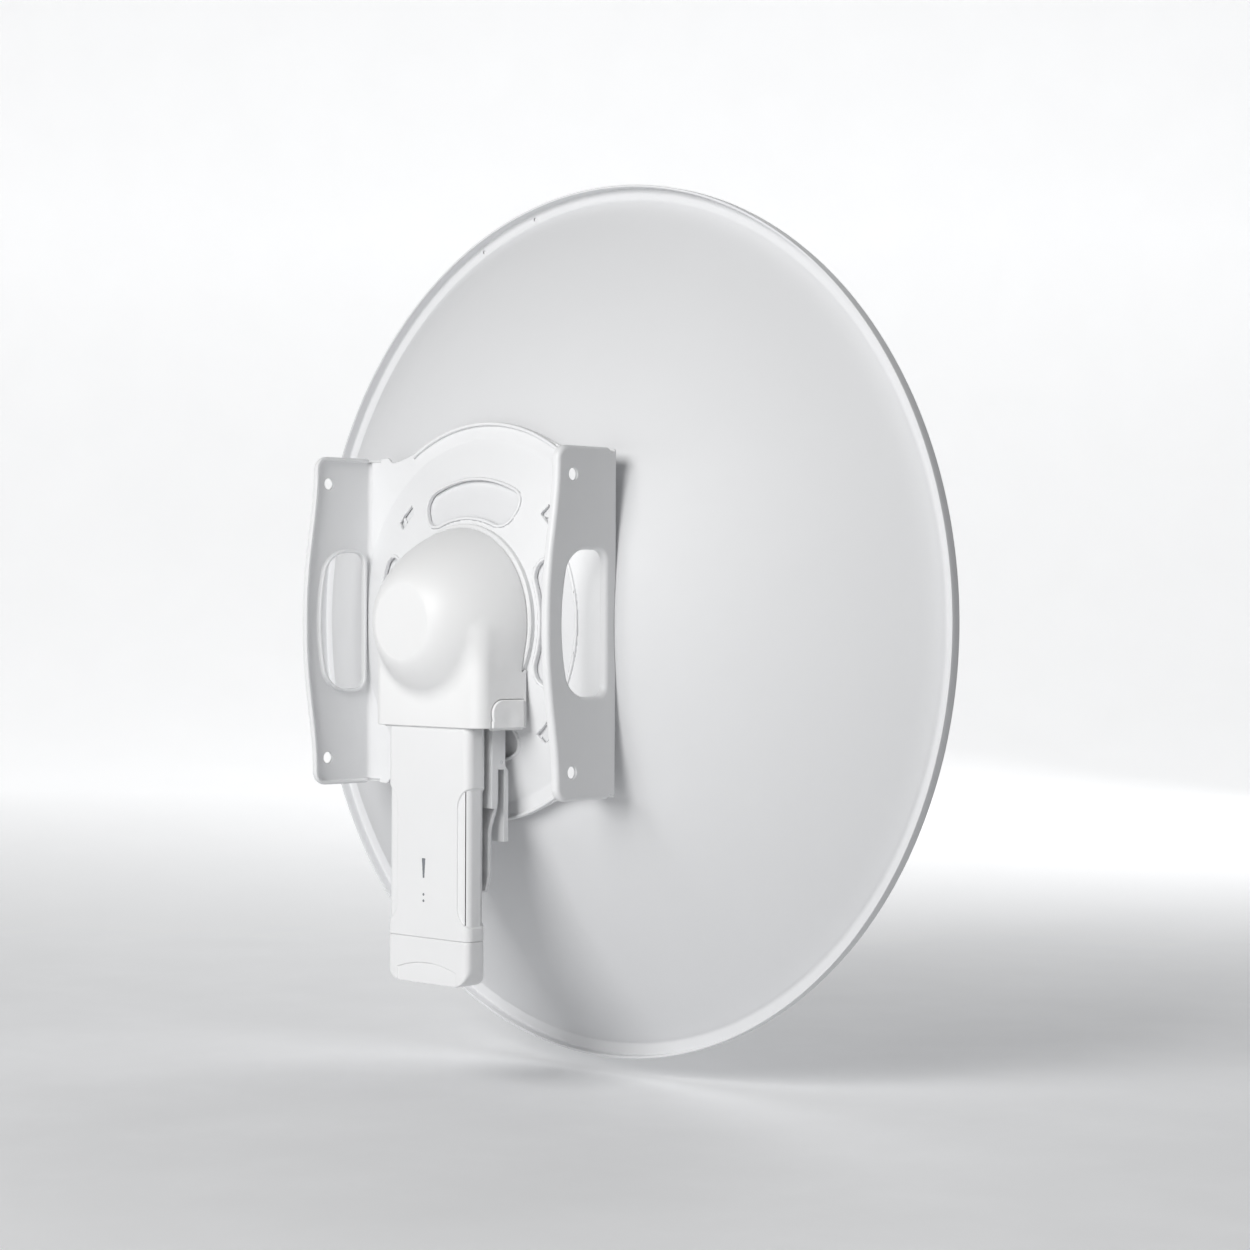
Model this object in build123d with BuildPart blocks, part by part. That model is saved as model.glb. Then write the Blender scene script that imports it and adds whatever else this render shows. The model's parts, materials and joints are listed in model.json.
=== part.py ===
"""Outdoor point-to-point wireless bridge: a 650 mm parabolic dish antenna with a clip-on radio.

Frame, in millimetres: +Z is up, the boresight looks along -Y, and +X is on the right of someone
who faces the dish. The origin is on the boresight, at the centre of the four flange bolt holes.
Angles around the boresight are measured from +X towards +Z.
"""

import os
from math import cos, hypot, radians, sin

from build123d import *

os.makedirs("parts", exist_ok=True)

# ---------------------------------------------------------------- driving dimensions

# Reflector
DISH_R = 325.0  # outside radius of the rim
RIM_FRONT_Y = -170.0  # flat front face of the rim
RIM_INNER_R = 313.5  # where the flat rim face begins
RIM_LIP_DEPTH = 10.0  # lip turned rearward
RIM_CORNER_R = 3.0
BOWL_R = 311.0  # edge of the paraboloid
FOCAL = 162.8  # focal length
VERTEX_Y = -18.0  # front surface on the axis
DISH_SHEET = 1.8  # measured along the boresight
DISH_HOLE_R = 32.0
RIM_HOLE_R = 1.5
RIM_HOLE_AT_R = 319.0
RIM_HOLE_ANGLES = (64.6, 75.4)

# Twist lock between reflector and bracket
HOOK_COUNT = 4
SLOT_R = (101.0, 109.0)
HOOK_R = (101.7, 108.3)
SLOT_START = 50.5
SLOT_SWEEP = 9.6
HOOK_START = 42.9
HOOK_SWEEP = 9.4
NECK_SWEEP = 1.6
HOOK_GAP = 0.4
HOOK_SHEET = 2.2

# Bracket
SHEET = 2.5
PLATE_GAP = 0.6  # between the back of the reflector and the plate
PLATE_HOLE_R = 45.0
PLATE_R = 143.0  # top and bottom arcs of the plate
STEP_R = (121.0, 130.5)  # embossed step
PLATE_FLAT_Y = -39.4  # rear face outside the step
PLATE_NECK_H = 233.0
FLANGE_X = 127.0  # outer faces of the flanges
FLANGE_H = 240.8
FLANGE_FOOT_W = 23.0
FLANGE_END_Y = 14.6  # free edge near the ends
FLANGE_MID_Y = 24.6  # free edge at mid height
FLANGE_CORNER_R = 10.0
LIP = 6.0  # depth of the inward-turned lips, sheet included
BOLT_Z = 100.8
BOLT_R = 4.2
HANDLE_ROOT_Y = -32.0
HANDLE_SHOULDER_Y = 1.0
HANDLE_MID_Y = 9.0
HANDLE_HALF_H = 50.0
HANDLE_ROOT_R = 8.0
HANDLE_BOW_R = 14.0
WINDOW_R = (75.0, 101.0)
WINDOW_HALF_ANGLE = 30.0
WINDOW_CORNER_R = 11.0
WINDOW_LIP = 2.2
WINDOW_LIP_H = 1.2

# Feed
FEED_TUBE_R = 20.5
FEED_TUBE_WALL = 2.0
FEED_DISC_R = 61.3
FEED_DISC_FRONT_Y = -166.0
FEED_DISC_BACK_Y = -158.0
FEED_RIBS = 5
FEED_RIB_W = 2.2
FEED_RIB_H = 1.0
FEED_RIB_START = 98.0
BASE_CAP_R = 43.3
RING_R = 69.7
CORE_R = (13.0, 15.0)

# Shroud
DOME_BASE_Y = -16.1
DOME_END_Y = 41.3
DOME_BASE_R = 67.0
DOME_END_R = 26.2
DOME_POWER = 1.4
SHROUD_WALL = 2.0
BOX_REAR_Y = 18.6
BOX_FRONT_Y = -21.0
BOX_REAR_X = 54.3
BOX_FRONT_X = 63.0
BOX_BOTTOM_Z = -73.4
TAB_GAP = 0.35

# Radio
RADIO_HALF_W = 42.0
RADIO_REAR_Y = 16.2
RADIO_FRONT_Y = -3.8
RADIO_TOP_Z = -66.0
RADIO_SEAM_Z = -222.0
RADIO_BOTTOM_Z = -254.3
RADIO_WALL = 2.0
RAIL_NECK = 6.0
RAIL_HEAD = 10.0
RAIL_TOP_Z = -72.0
RAIL_END_Z = -130.0
FIT = 0.4


# ---------------------------------------------------------------- shared geometry


def dish_front(r):
    """Y of the reflecting surface at radius r."""
    return VERTEX_Y - r**2 / (4 * FOCAL)


def dish_back(r):
    return dish_front(r) + DISH_SHEET


def plate_back(r):
    """Y of the bracket plate's rear face inside the embossed step."""
    return dish_back(r) + PLATE_GAP + SHEET


def around(angle):
    """Plane through the boresight: local x is the radius at this angle, local y is +Y."""
    a = radians(angle)
    return Plane(origin=(0, 0, 0), x_dir=(cos(a), 0, sin(a)), z_dir=(-sin(a), 0, cos(a)))


def facing_rear(y):
    """Plane at this Y with local x = +X, local y = +Z and the extrusion going forward (-Y)."""
    return Plane.XZ.offset(-y)


def dome_radius(share, inset=0.0):
    """Outside radius of the dome at a share (0 to 1) of its depth."""
    bulge = (1 - share**DOME_POWER) ** (1 / DOME_POWER)
    return DOME_END_R + (DOME_BASE_R - DOME_END_R) * bulge - inset


def write(builder, name):
    builder.part.label = name
    export_step(builder.part, f"parts/{name}.step")


# ---------------------------------------------------------------- reflector

BOWL_STATIONS = (DISH_HOLE_R, 70.0, 110.0, 150.0, 190.0, 230.0, 270.0, BOWL_R)
RIM_SHEET = 1.8
RIM_STEP = 1.0

with BuildPart() as reflector:
    with BuildSketch(Plane.XY) as dish_section:
        with BuildLine():
            Spline(*[(r, dish_front(r)) for r in BOWL_STATIONS])
            Polyline(
                (BOWL_R, dish_front(BOWL_R)),
                (RIM_INNER_R, RIM_FRONT_Y),
                (DISH_R - RIM_CORNER_R, RIM_FRONT_Y),
            )
            RadiusArc(
                (DISH_R - RIM_CORNER_R, RIM_FRONT_Y),
                (DISH_R, RIM_FRONT_Y + RIM_CORNER_R),
                -RIM_CORNER_R,
            )
            Polyline(
                (DISH_R, RIM_FRONT_Y + RIM_CORNER_R),
                (DISH_R, RIM_FRONT_Y + RIM_LIP_DEPTH),
                (DISH_R - RIM_SHEET, RIM_FRONT_Y + RIM_LIP_DEPTH),
                (DISH_R - RIM_SHEET, RIM_FRONT_Y + RIM_CORNER_R),
                (DISH_R - RIM_CORNER_R, RIM_FRONT_Y + RIM_SHEET),
                (RIM_INNER_R + RIM_STEP, RIM_FRONT_Y + RIM_SHEET),
                (BOWL_R + RIM_STEP, dish_back(BOWL_R + RIM_STEP)),
            )
            Spline(*[(r, dish_back(r)) for r in (*BOWL_STATIONS[:-1], BOWL_R + RIM_STEP)])
            Line((DISH_HOLE_R, dish_back(DISH_HOLE_R)), (DISH_HOLE_R, dish_front(DISH_HOLE_R)))
        make_face()
    revolve(axis=Axis.Y)
    with BuildSketch(facing_rear(RIM_FRONT_Y + RIM_LIP_DEPTH)) as rim_holes:
        for angle in RIM_HOLE_ANGLES:
            with PolarLocations(RIM_HOLE_AT_R, 1, start_angle=angle):
                Circle(RIM_HOLE_R)
    extrude(amount=2 * RIM_LIP_DEPTH, mode=Mode.SUBTRACT)
    for turn in range(HOOK_COUNT):
        with BuildSketch(around(SLOT_START + 90 * turn)) as slot_section:
            with Locations(((SLOT_R[0] + SLOT_R[1]) / 2, dish_front(SLOT_R[0]))):
                Rectangle(SLOT_R[1] - SLOT_R[0], 12)
        revolve(axis=Axis.Y, revolution_arc=SLOT_SWEEP, mode=Mode.SUBTRACT)
write(reflector, "reflector")


# ---------------------------------------------------------------- mounting bracket


def flange_outline(inset):
    """Side view of a flange, drawn inside its free edge by the inset: local x is Y, local y is Z."""
    corner = FLANGE_CORNER_R - inset
    end = FLANGE_END_Y - inset
    half = FLANGE_H / 2 - inset
    root = PLATE_FLAT_Y - SHEET
    shoulder = FLANGE_END_Y + (FLANGE_MID_Y - FLANGE_END_Y) * 0.5 - inset
    with BuildSketch(mode=Mode.PRIVATE) as flange:
        with BuildLine():
            Line((root, -half), (end - corner, -half))
            RadiusArc((end - corner, -half), (end, -half + corner), -corner)
            Spline(
                (end, -half + corner),
                (shoulder, -62),
                (FLANGE_MID_Y - inset, 0),
                (shoulder, 62),
                (end, half - corner),
                tangents=[(0, 1), (0, 1)],
            )
            RadiusArc((end, half - corner), (end - corner, half), -corner)
            Polyline((end - corner, half), (root, half), (root, -half))
        make_face()
    return flange.sketch


def handle_outline(grow):
    """Window of a flange, grown outward: a straight root side and a bowed outer side."""
    top = HANDLE_HALF_H + grow
    root = HANDLE_ROOT_Y - grow
    shoulder = HANDLE_SHOULDER_Y + grow / 2
    with BuildSketch(mode=Mode.PRIVATE) as window:
        with BuildLine():
            Polyline((shoulder, -top), (root, -top), (root, top), (shoulder, top))
            ThreePointArc((shoulder, top), (HANDLE_MID_Y + grow, 0), (shoulder, -top))
        make_face()
        fillet(window.vertices().group_by(Axis.X)[0], radius=HANDLE_ROOT_R + grow)
        fillet(window.vertices().group_by(Axis.X)[-1], radius=HANDLE_BOW_R + grow)
    return window.sketch


def window_outline(grow):
    """The four curved windows of the plate, grown outward by this much."""
    inner = WINDOW_R[0] - grow
    outer = WINDOW_R[1] + grow
    half = WINDOW_HALF_ANGLE + grow * 0.65
    with BuildSketch(mode=Mode.PRIVATE) as windows:
        with BuildLine():
            CenterArc((0, 0), inner, 90 - half, 2 * half)
            CenterArc((0, 0), outer, 90 - half, 2 * half)
            for side in (90 - half, 90 + half):
                a = radians(side)
                Line((inner * cos(a), inner * sin(a)), (outer * cos(a), outer * sin(a)))
        make_face()
        fillet(windows.vertices(), radius=WINDOW_CORNER_R)
    return windows.sketch


with BuildPart() as window_lips:
    with BuildSketch(Plane.XY) as lip_band:
        with BuildLine():
            inner, outer = WINDOW_R[0] - 6, WINDOW_R[1] + 6
            Polyline(
                (inner, plate_back(inner) - SHEET / 2),
                (outer, plate_back(outer) - SHEET / 2),
                (outer, plate_back(outer) + WINDOW_LIP_H),
                (inner, plate_back(inner) + WINDOW_LIP_H),
                close=True,
            )
        make_face()
    revolve(axis=Axis.Y)
    with BuildSketch(facing_rear(0)):
        for turn in range(4):
            add(window_outline(WINDOW_LIP), rotation=90 * turn)
    extrude(amount=60, mode=Mode.INTERSECT)

PLATE_STATIONS = (PLATE_HOLE_R, 65.0, 85.0, 105.0, STEP_R[0])
PLATE_CORNER_R = 178.0

with BuildPart() as mounting_bracket:
    with BuildSketch(Plane.XY) as plate_section:
        with BuildLine():
            Spline(*[(r, plate_back(r)) for r in PLATE_STATIONS])
            Polyline(
                (STEP_R[0], plate_back(STEP_R[0])),
                (STEP_R[1], PLATE_FLAT_Y),
                (PLATE_CORNER_R, PLATE_FLAT_Y),
                (PLATE_CORNER_R, PLATE_FLAT_Y - SHEET),
                (STEP_R[1], PLATE_FLAT_Y - SHEET),
                (STEP_R[0], plate_back(STEP_R[0]) - SHEET),
            )
            Spline(*[(r, plate_back(r) - SHEET) for r in PLATE_STATIONS])
            Line(
                (PLATE_HOLE_R, plate_back(PLATE_HOLE_R)),
                (PLATE_HOLE_R, plate_back(PLATE_HOLE_R) - SHEET),
            )
        make_face()
    revolve(axis=Axis.Y)
    with BuildSketch(facing_rear(0)) as plate_outline:
        Circle(PLATE_R)
        Rectangle(2 * FLANGE_X, 2 * PLATE_R, mode=Mode.INTERSECT)
        Rectangle(2 * (FLANGE_X - FLANGE_FOOT_W), PLATE_NECK_H)
        for side in (-1, 1):
            with Locations((side * (FLANGE_X - FLANGE_FOOT_W / 2), 0)):
                Rectangle(FLANGE_FOOT_W, FLANGE_H)
        neck = plate_outline.vertices().filter_by(lambda v: 75 < abs(v.X) < 90)
        fillet(neck, radius=14)
    extrude(amount=60, mode=Mode.INTERSECT)
    # a small lip along the top and bottom arcs
    for middle in (90, 270):
        with BuildSketch(around(middle + 32)) as arc_lip:
            with Locations((PLATE_R - SHEET / 2, PLATE_FLAT_Y + 0.5)):
                Rectangle(SHEET, 4)
        revolve(axis=Axis.Y, revolution_arc=64)
    # flanges with turned lips, handle windows, bolt holes and bend reliefs
    for side in (-1, 1):
        with BuildSketch(Plane.YZ.offset(side * FLANGE_X)):
            add(flange_outline(0))
        extrude(amount=-side * LIP)
        with BuildSketch(Plane.YZ.offset(side * (FLANGE_X - SHEET))):
            add(flange_outline(SHEET))
            with Locations((PLATE_FLAT_Y - SHEET, 0)):
                Rectangle(2 * SHEET, FLANGE_H, mode=Mode.SUBTRACT)
            add(handle_outline(SHEET), mode=Mode.SUBTRACT)
        extrude(amount=-side * LIP, mode=Mode.SUBTRACT)
        with BuildSketch(Plane.YZ.offset(side * (FLANGE_X + 1))):
            add(handle_outline(0))
            with Locations((0, BOLT_Z), (0, -BOLT_Z)):
                Circle(BOLT_R)
            with Locations(*[(PLATE_FLAT_Y + 1, z) for z in (FLANGE_H / 2, -FLANGE_H / 2)]):
                Circle(3.0)
        extrude(amount=-side * 2 * LIP, mode=Mode.SUBTRACT)
    # the flange roots stop at the plate's front face
    with BuildSketch(Plane.XY):
        with BuildLine():
            Polyline(
                (STEP_R[0] - 10, plate_back(STEP_R[0] - 10) - SHEET - 0.1),
                (STEP_R[0], plate_back(STEP_R[0]) - SHEET),
                (STEP_R[1], PLATE_FLAT_Y - SHEET),
                (STEP_R[1] + 10, PLATE_FLAT_Y - SHEET),
                (STEP_R[1] + 10, PLATE_FLAT_Y - 20),
                (STEP_R[0] - 10, PLATE_FLAT_Y - 20),
                close=True,
            )
        make_face()
    revolve(axis=Axis.Y, mode=Mode.SUBTRACT)
    add(window_lips.part)
    with BuildSketch(facing_rear(0)):
        for turn in range(4):
            add(window_outline(0), rotation=90 * turn)
    extrude(amount=60, mode=Mode.SUBTRACT)
    # hooks of the twist lock, pressed forward out of the plate
    for turn in range(HOOK_COUNT):
        with BuildSketch(around(HOOK_START - NECK_SWEEP + 90 * turn)) as lanced_opening:
            with Locations(((SLOT_R[0] + SLOT_R[1]) / 2, plate_back(SLOT_R[0]))):
                Rectangle(SLOT_R[1] - SLOT_R[0], 14)
        revolve(axis=Axis.Y, revolution_arc=HOOK_SWEEP, mode=Mode.SUBTRACT)
        hook_front = [(r, dish_front(r) - HOOK_GAP - HOOK_SHEET) for r in HOOK_R]
        hook_back = [(r, dish_front(r) - HOOK_GAP) for r in HOOK_R]
        neck_back = [(r, plate_back(r) - SHEET / 2) for r in HOOK_R]
        with BuildSketch(around(HOOK_START + 90 * turn)) as neck_section:
            Polygon(*hook_front, *reversed(neck_back), align=None)
        revolve(axis=Axis.Y, revolution_arc=NECK_SWEEP)
        with BuildSketch(around(HOOK_START + 90 * turn)) as tab_section:
            Polygon(*hook_front, *reversed(hook_back), align=None)
        revolve(axis=Axis.Y, revolution_arc=HOOK_SWEEP)
write(mounting_bracket, "mounting_bracket")


# ---------------------------------------------------------------- feed

HUB_FRONT_Y = -21.0
HUB_SEAT_Y = -16.1
HUB_BACK_Y = -13.2
HUB_FLANGE_R = 58.0
HUB_SPIGOT_R = 31.4
CAP_BACK_Y = -21.3
CAP_FRONT_Y = -24.3
TUBE_FLARE_R = 23.0
GAP = 0.05

with BuildPart() as feed_hub:
    with BuildSketch(Plane.XY):
        with BuildLine():
            Polyline(
                (FEED_TUBE_R + GAP, HUB_FRONT_Y + 3),
                (HUB_SPIGOT_R, HUB_FRONT_Y + 3),
                (HUB_SPIGOT_R, HUB_SEAT_Y),
                (HUB_FLANGE_R, HUB_SEAT_Y),
                (HUB_FLANGE_R, HUB_BACK_Y),
                (FEED_TUBE_R + GAP, HUB_BACK_Y),
                close=True,
            )
        make_face()
    revolve(axis=Axis.Y)
write(feed_hub, "feed_hub")

with BuildPart() as hub_gasket:
    with BuildSketch(Plane.XY):
        with Locations(((TUBE_FLARE_R + HUB_SPIGOT_R) / 2 + 0.4, HUB_FRONT_Y + 1.4)):
            Rectangle(HUB_SPIGOT_R - TUBE_FLARE_R - 1.2, 3.1)
    revolve(axis=Axis.Y)
write(hub_gasket, "hub_gasket")

with BuildPart() as base_cap:
    with BuildSketch(Plane.XY) as cap_section:
        with BuildLine():
            Polyline(
                (TUBE_FLARE_R + GAP, CAP_BACK_Y),
                (BASE_CAP_R, CAP_BACK_Y),
                (BASE_CAP_R, CAP_BACK_Y - 1.4),
                (BASE_CAP_R - 3.2, CAP_FRONT_Y + 0.4),
                (TUBE_FLARE_R + GAP, CAP_FRONT_Y),
                close=True,
            )
        make_face()
        fillet(cap_section.vertices().sort_by(Axis.X)[-2:].sort_by(Axis.Y)[:1], radius=0.8)
    revolve(axis=Axis.Y)
write(base_cap, "base_cap")

RING_SCREW_R = 62.6
RING_SCREW_START = 45.0
RING_SEAT_GAP = 0.15
RING_SHOULDER_Y = -16.4
RING_CHAMFER = 0.8
RING_COLLAR_Y = -11.6
RING_COLLAR_R = (54.0, 60.5)

with BuildPart() as feed_rear_ring:
    with BuildSketch(Plane.XY):
        with BuildLine():
            Polyline(
                (HUB_FLANGE_R + FIT, plate_back(HUB_FLANGE_R) + RING_SEAT_GAP),
                (RING_R, plate_back(RING_R) + RING_SEAT_GAP),
                (RING_R, RING_SHOULDER_Y - RING_CHAMFER),
                (RING_R - 1, RING_SHOULDER_Y),
                (RING_COLLAR_R[1], RING_SHOULDER_Y),
                (RING_COLLAR_R[1], RING_COLLAR_Y),
                (RING_COLLAR_R[0], RING_COLLAR_Y),
                (RING_COLLAR_R[0], HUB_BACK_Y + GAP),
                (HUB_FLANGE_R + FIT, HUB_BACK_Y + GAP),
                close=True,
            )
        make_face()
    revolve(axis=Axis.Y)
    with BuildSketch(facing_rear(-10)):
        with PolarLocations(RING_SCREW_R, 4, start_angle=RING_SCREW_START):
            Circle(1.4)
    extrude(amount=20, mode=Mode.SUBTRACT)
write(feed_rear_ring, "feed_rear_ring")

with BuildPart() as ring_screws:
    with BuildSketch(facing_rear(-14.2)):
        with PolarLocations(RING_SCREW_R, 4, start_angle=RING_SCREW_START):
            Circle(1.9)
    extrude(amount=2.15)
    with BuildSketch(facing_rear(-15)):
        with PolarLocations(RING_SCREW_R, 4, start_angle=RING_SCREW_START):
            Circle(1.2)
    extrude(amount=3.6)
write(ring_screws, "ring_screws")

with BuildPart() as feed_tube:
    with BuildSketch(Plane.XY):
        with BuildLine():
            Polyline(
                (FEED_TUBE_R - FEED_TUBE_WALL, -12.0),
                (FEED_TUBE_R, -12.0),
                (FEED_TUBE_R, HUB_FRONT_Y + 2.9),
                (TUBE_FLARE_R, HUB_FRONT_Y + 1),
                (TUBE_FLARE_R, CAP_FRONT_Y - 1),
                (FEED_TUBE_R, CAP_FRONT_Y - 16),
                (FEED_TUBE_R, FEED_DISC_BACK_Y + 14),
                (FEED_TUBE_R - FEED_TUBE_WALL, FEED_DISC_BACK_Y + 14),
                close=True,
            )
        make_face()
    revolve(axis=Axis.Y)
write(feed_tube, "feed_tube")

CORE_ENDS_Y = (-132.0, -9.6)
SPACERS_Y = (-40.0, -120.0)
SPACER_W = 4.0
SPACER_R = FEED_TUBE_R - FEED_TUBE_WALL - GAP

with BuildPart() as waveguide_core:
    with BuildSketch(Plane.XY):
        with Locations(((CORE_R[0] + CORE_R[1]) / 2, (CORE_ENDS_Y[0] + CORE_ENDS_Y[1]) / 2)):
            Rectangle(CORE_R[1] - CORE_R[0], CORE_ENDS_Y[1] - CORE_ENDS_Y[0])
        with Locations(*[((CORE_R[0] + SPACER_R) / 2, y) for y in SPACERS_Y]):
            Rectangle(SPACER_R - CORE_R[0], SPACER_W)
    revolve(axis=Axis.Y)
write(waveguide_core, "waveguide_core")


def disc_profile(lift):
    """Front of the splash plate from the rim inward, raised towards the front by the lift."""
    front = FEED_DISC_FRONT_Y - lift
    return [
        (FEED_DISC_R, front),
        (FEED_DISC_R - 1.8, front),
        (FEED_DISC_R - 2.6, front + 2.2),
        (FEED_DISC_R - 6.0, front + 2.8),
        (FEED_DISC_R - 9.0, front + 1.8),
        (FEED_DISC_R - 12.5, front + 1.8),
        (43.0, front + 3.6),
        (28.0, front + 13.5),
        (25.5, front + 14.4),
        (19.4, front + 14.4),
        (18.6, front + 13.6),
        (17.2, front + 13.6),
        (16.4, front + 15.0),
        (11.0, front + 25.5),
    ]


with BuildPart() as feed_disc:
    with BuildSketch(Plane.XY):
        with BuildLine():
            front_edge = disc_profile(0)
            Polyline(
                *front_edge,
                (0, front_edge[-1][1]),
                (0, front_edge[-1][1] + 2.0),
                (FEED_TUBE_R - FEED_TUBE_WALL - GAP, front_edge[-1][1] + 2.0),
                (FEED_TUBE_R - FEED_TUBE_WALL - GAP, FEED_DISC_BACK_Y + 14 - GAP),
                (FEED_TUBE_R, FEED_DISC_BACK_Y + 14 - GAP),
                (28.0, FEED_DISC_BACK_Y + 10.5),
                (44.0, FEED_DISC_BACK_Y + 1.6),
                (FEED_DISC_R, FEED_DISC_BACK_Y + 0.6),
                close=True,
            )
        make_face()
    revolve(axis=Axis.Y)
with BuildPart() as feed_disc_ribs:
    for rib in range(FEED_RIBS):
        with BuildSketch(around(FEED_RIB_START + rib * 360 / FEED_RIBS)):
            with BuildLine():
                crest = [(r, y) for r, y in disc_profile(FEED_RIB_H)[1:-1]]
                seat = [(r, y - GAP) for r, y in disc_profile(0)[1:-1]]
                Polyline(*crest, *reversed(seat), close=True)
            make_face()
        extrude(amount=FEED_RIB_W / 2, both=True)
write(feed_disc, "feed_disc")
write(feed_disc_ribs, "feed_disc_ribs")


# ---------------------------------------------------------------- RF block and jumpers

BLOCK_HALF = 23.0
BLOCK_BACK_Y = 14.0
BLOCK_FRONT_Y = -9.0
BLOCK_SCREW_PITCH = 36.0
JACK_R = 4.0
JUMPER_R = 1.6
PORT_Y = 2.0
PORT_Z = 4.0
PLUG_X = 22.0
PLUG_Y = 6.0
PLUG_TOP_Z = -43.0
PLUG_BOTTOM_Z = -53.0
RADIO_JACK_TOP_Z = -53.4

with BuildPart() as rf_block:
    with BuildSketch(facing_rear(BLOCK_BACK_Y)) as block_outline:
        RectangleRounded(2 * BLOCK_HALF, 2 * BLOCK_HALF, 4)
    extrude(amount=BLOCK_BACK_Y - BLOCK_FRONT_Y)
    with BuildSketch(facing_rear(BLOCK_FRONT_Y)):
        Circle(25.5)
    extrude(amount=BLOCK_FRONT_Y - HUB_BACK_Y - GAP)
    with BuildSketch(facing_rear(BLOCK_FRONT_Y - 0.5)):
        Circle(FEED_TUBE_R + GAP)
    extrude(amount=10, mode=Mode.SUBTRACT)
    with BuildSketch(facing_rear(BLOCK_BACK_Y)):
        with GridLocations(BLOCK_SCREW_PITCH, BLOCK_SCREW_PITCH, 2, 2):
            Circle(1.6)
    extrude(amount=8, mode=Mode.SUBTRACT)
write(rf_block, "rf_block")

with BuildPart() as rf_block_screws:
    with BuildSketch(facing_rear(BLOCK_BACK_Y + 2)):
        with GridLocations(BLOCK_SCREW_PITCH, BLOCK_SCREW_PITCH, 2, 2):
            Circle(2.9)
    extrude(amount=2 - GAP)
    with BuildSketch(facing_rear(BLOCK_BACK_Y + 1)):
        with GridLocations(BLOCK_SCREW_PITCH, BLOCK_SCREW_PITCH, 2, 2):
            Circle(1.5)
    extrude(amount=8)
write(rf_block_screws, "rf_block_screws")

with BuildPart() as feed_rf_jacks:
    for side in (-1, 1):
        jack_plane = Plane(
            origin=(side * (BLOCK_HALF + GAP), PORT_Y, PORT_Z), x_dir=(0, 1, 0), z_dir=(side, 0, 0)
        )
        with BuildSketch(jack_plane):
            RegularPolygon(JACK_R + 0.8, 6)
        extrude(amount=2.5)
        with BuildSketch(jack_plane):
            Circle(JACK_R - 0.8)
        extrude(amount=6)
write(feed_rf_jacks, "feed_rf_jacks")

JUMPER_START_X = BLOCK_HALF + GAP + 6 + GAP
JUMPER_ROUTE = [
    (JUMPER_START_X, PORT_Y, PORT_Z),
    (44.0, PORT_Y, PORT_Z),
    (44.0, 3.0, -20.0),
    (PLUG_X, PLUG_Y, -31.0),
    (PLUG_X, PLUG_Y, PLUG_TOP_Z + GAP),
]
JUMPER_RADII = (6.5, 12.0, 6.0)

with BuildPart() as jumper_cable_right:
    with BuildLine():
        FilletPolyline(*JUMPER_ROUTE, radius=JUMPER_RADII)
    with BuildSketch(Plane(origin=JUMPER_ROUTE[0], z_dir=(1, 0, 0))):
        Circle(JUMPER_R)
    sweep()
with BuildPart() as jumper_cable_left:
    mirror(jumper_cable_right.part, about=Plane.YZ)
write(jumper_cable_right, "jumper_cable_right")
write(jumper_cable_left, "jumper_cable_left")

with BuildPart() as jumper_plugs:
    with BuildSketch(Plane.XY.offset(PLUG_BOTTOM_Z)):
        with Locations((-PLUG_X, PLUG_Y), (PLUG_X, PLUG_Y)):
            RegularPolygon(5.0, 6)
    extrude(amount=7)
    with BuildSketch(Plane.XY.offset(PLUG_BOTTOM_Z + 7)):
        with Locations((-PLUG_X, PLUG_Y), (PLUG_X, PLUG_Y)):
            Circle(2.8)
    extrude(amount=PLUG_TOP_Z - PLUG_BOTTOM_Z - 7)
write(jumper_plugs, "jumper_plugs")


# ---------------------------------------------------------------- radio hanger and latch

HANGER_HALF_W = 42.0
HANGER_FRONT_Y = -19.6
HANGER_BACK_Y = -7.0
HANGER_TOP_Z = -61.5
HANGER_END_Z = -130.0
CHEEK_X = 38.4
LATCH_PIVOT_Y = -16.0
LATCH_PIVOT_Z = -98.0
LATCH_SHEET = 3.0
LATCH_TIP_Y = -4.4
PIN_R = 1.5
KNUCKLE_R = 3.2
BACK_PLATE_Y = -12.0  # front face of the hanger's lower plate
KNUCKLE_END_Z = -103.0  # where the latch knuckle's housing ends
RING_CLEAR_Y = -16.2
RING_CLEAR_Z = -70.6
STOP_LEG_SHEET = 4.0
STOP_LEG_END_Z = -154.0
RAIL_FRONT_Y = -1.0
RAIL_BACK_Y = 1.6
HANGER_SCREWS_AT = [(-12.0, -64.2), (12.0, -64.2)]

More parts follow.
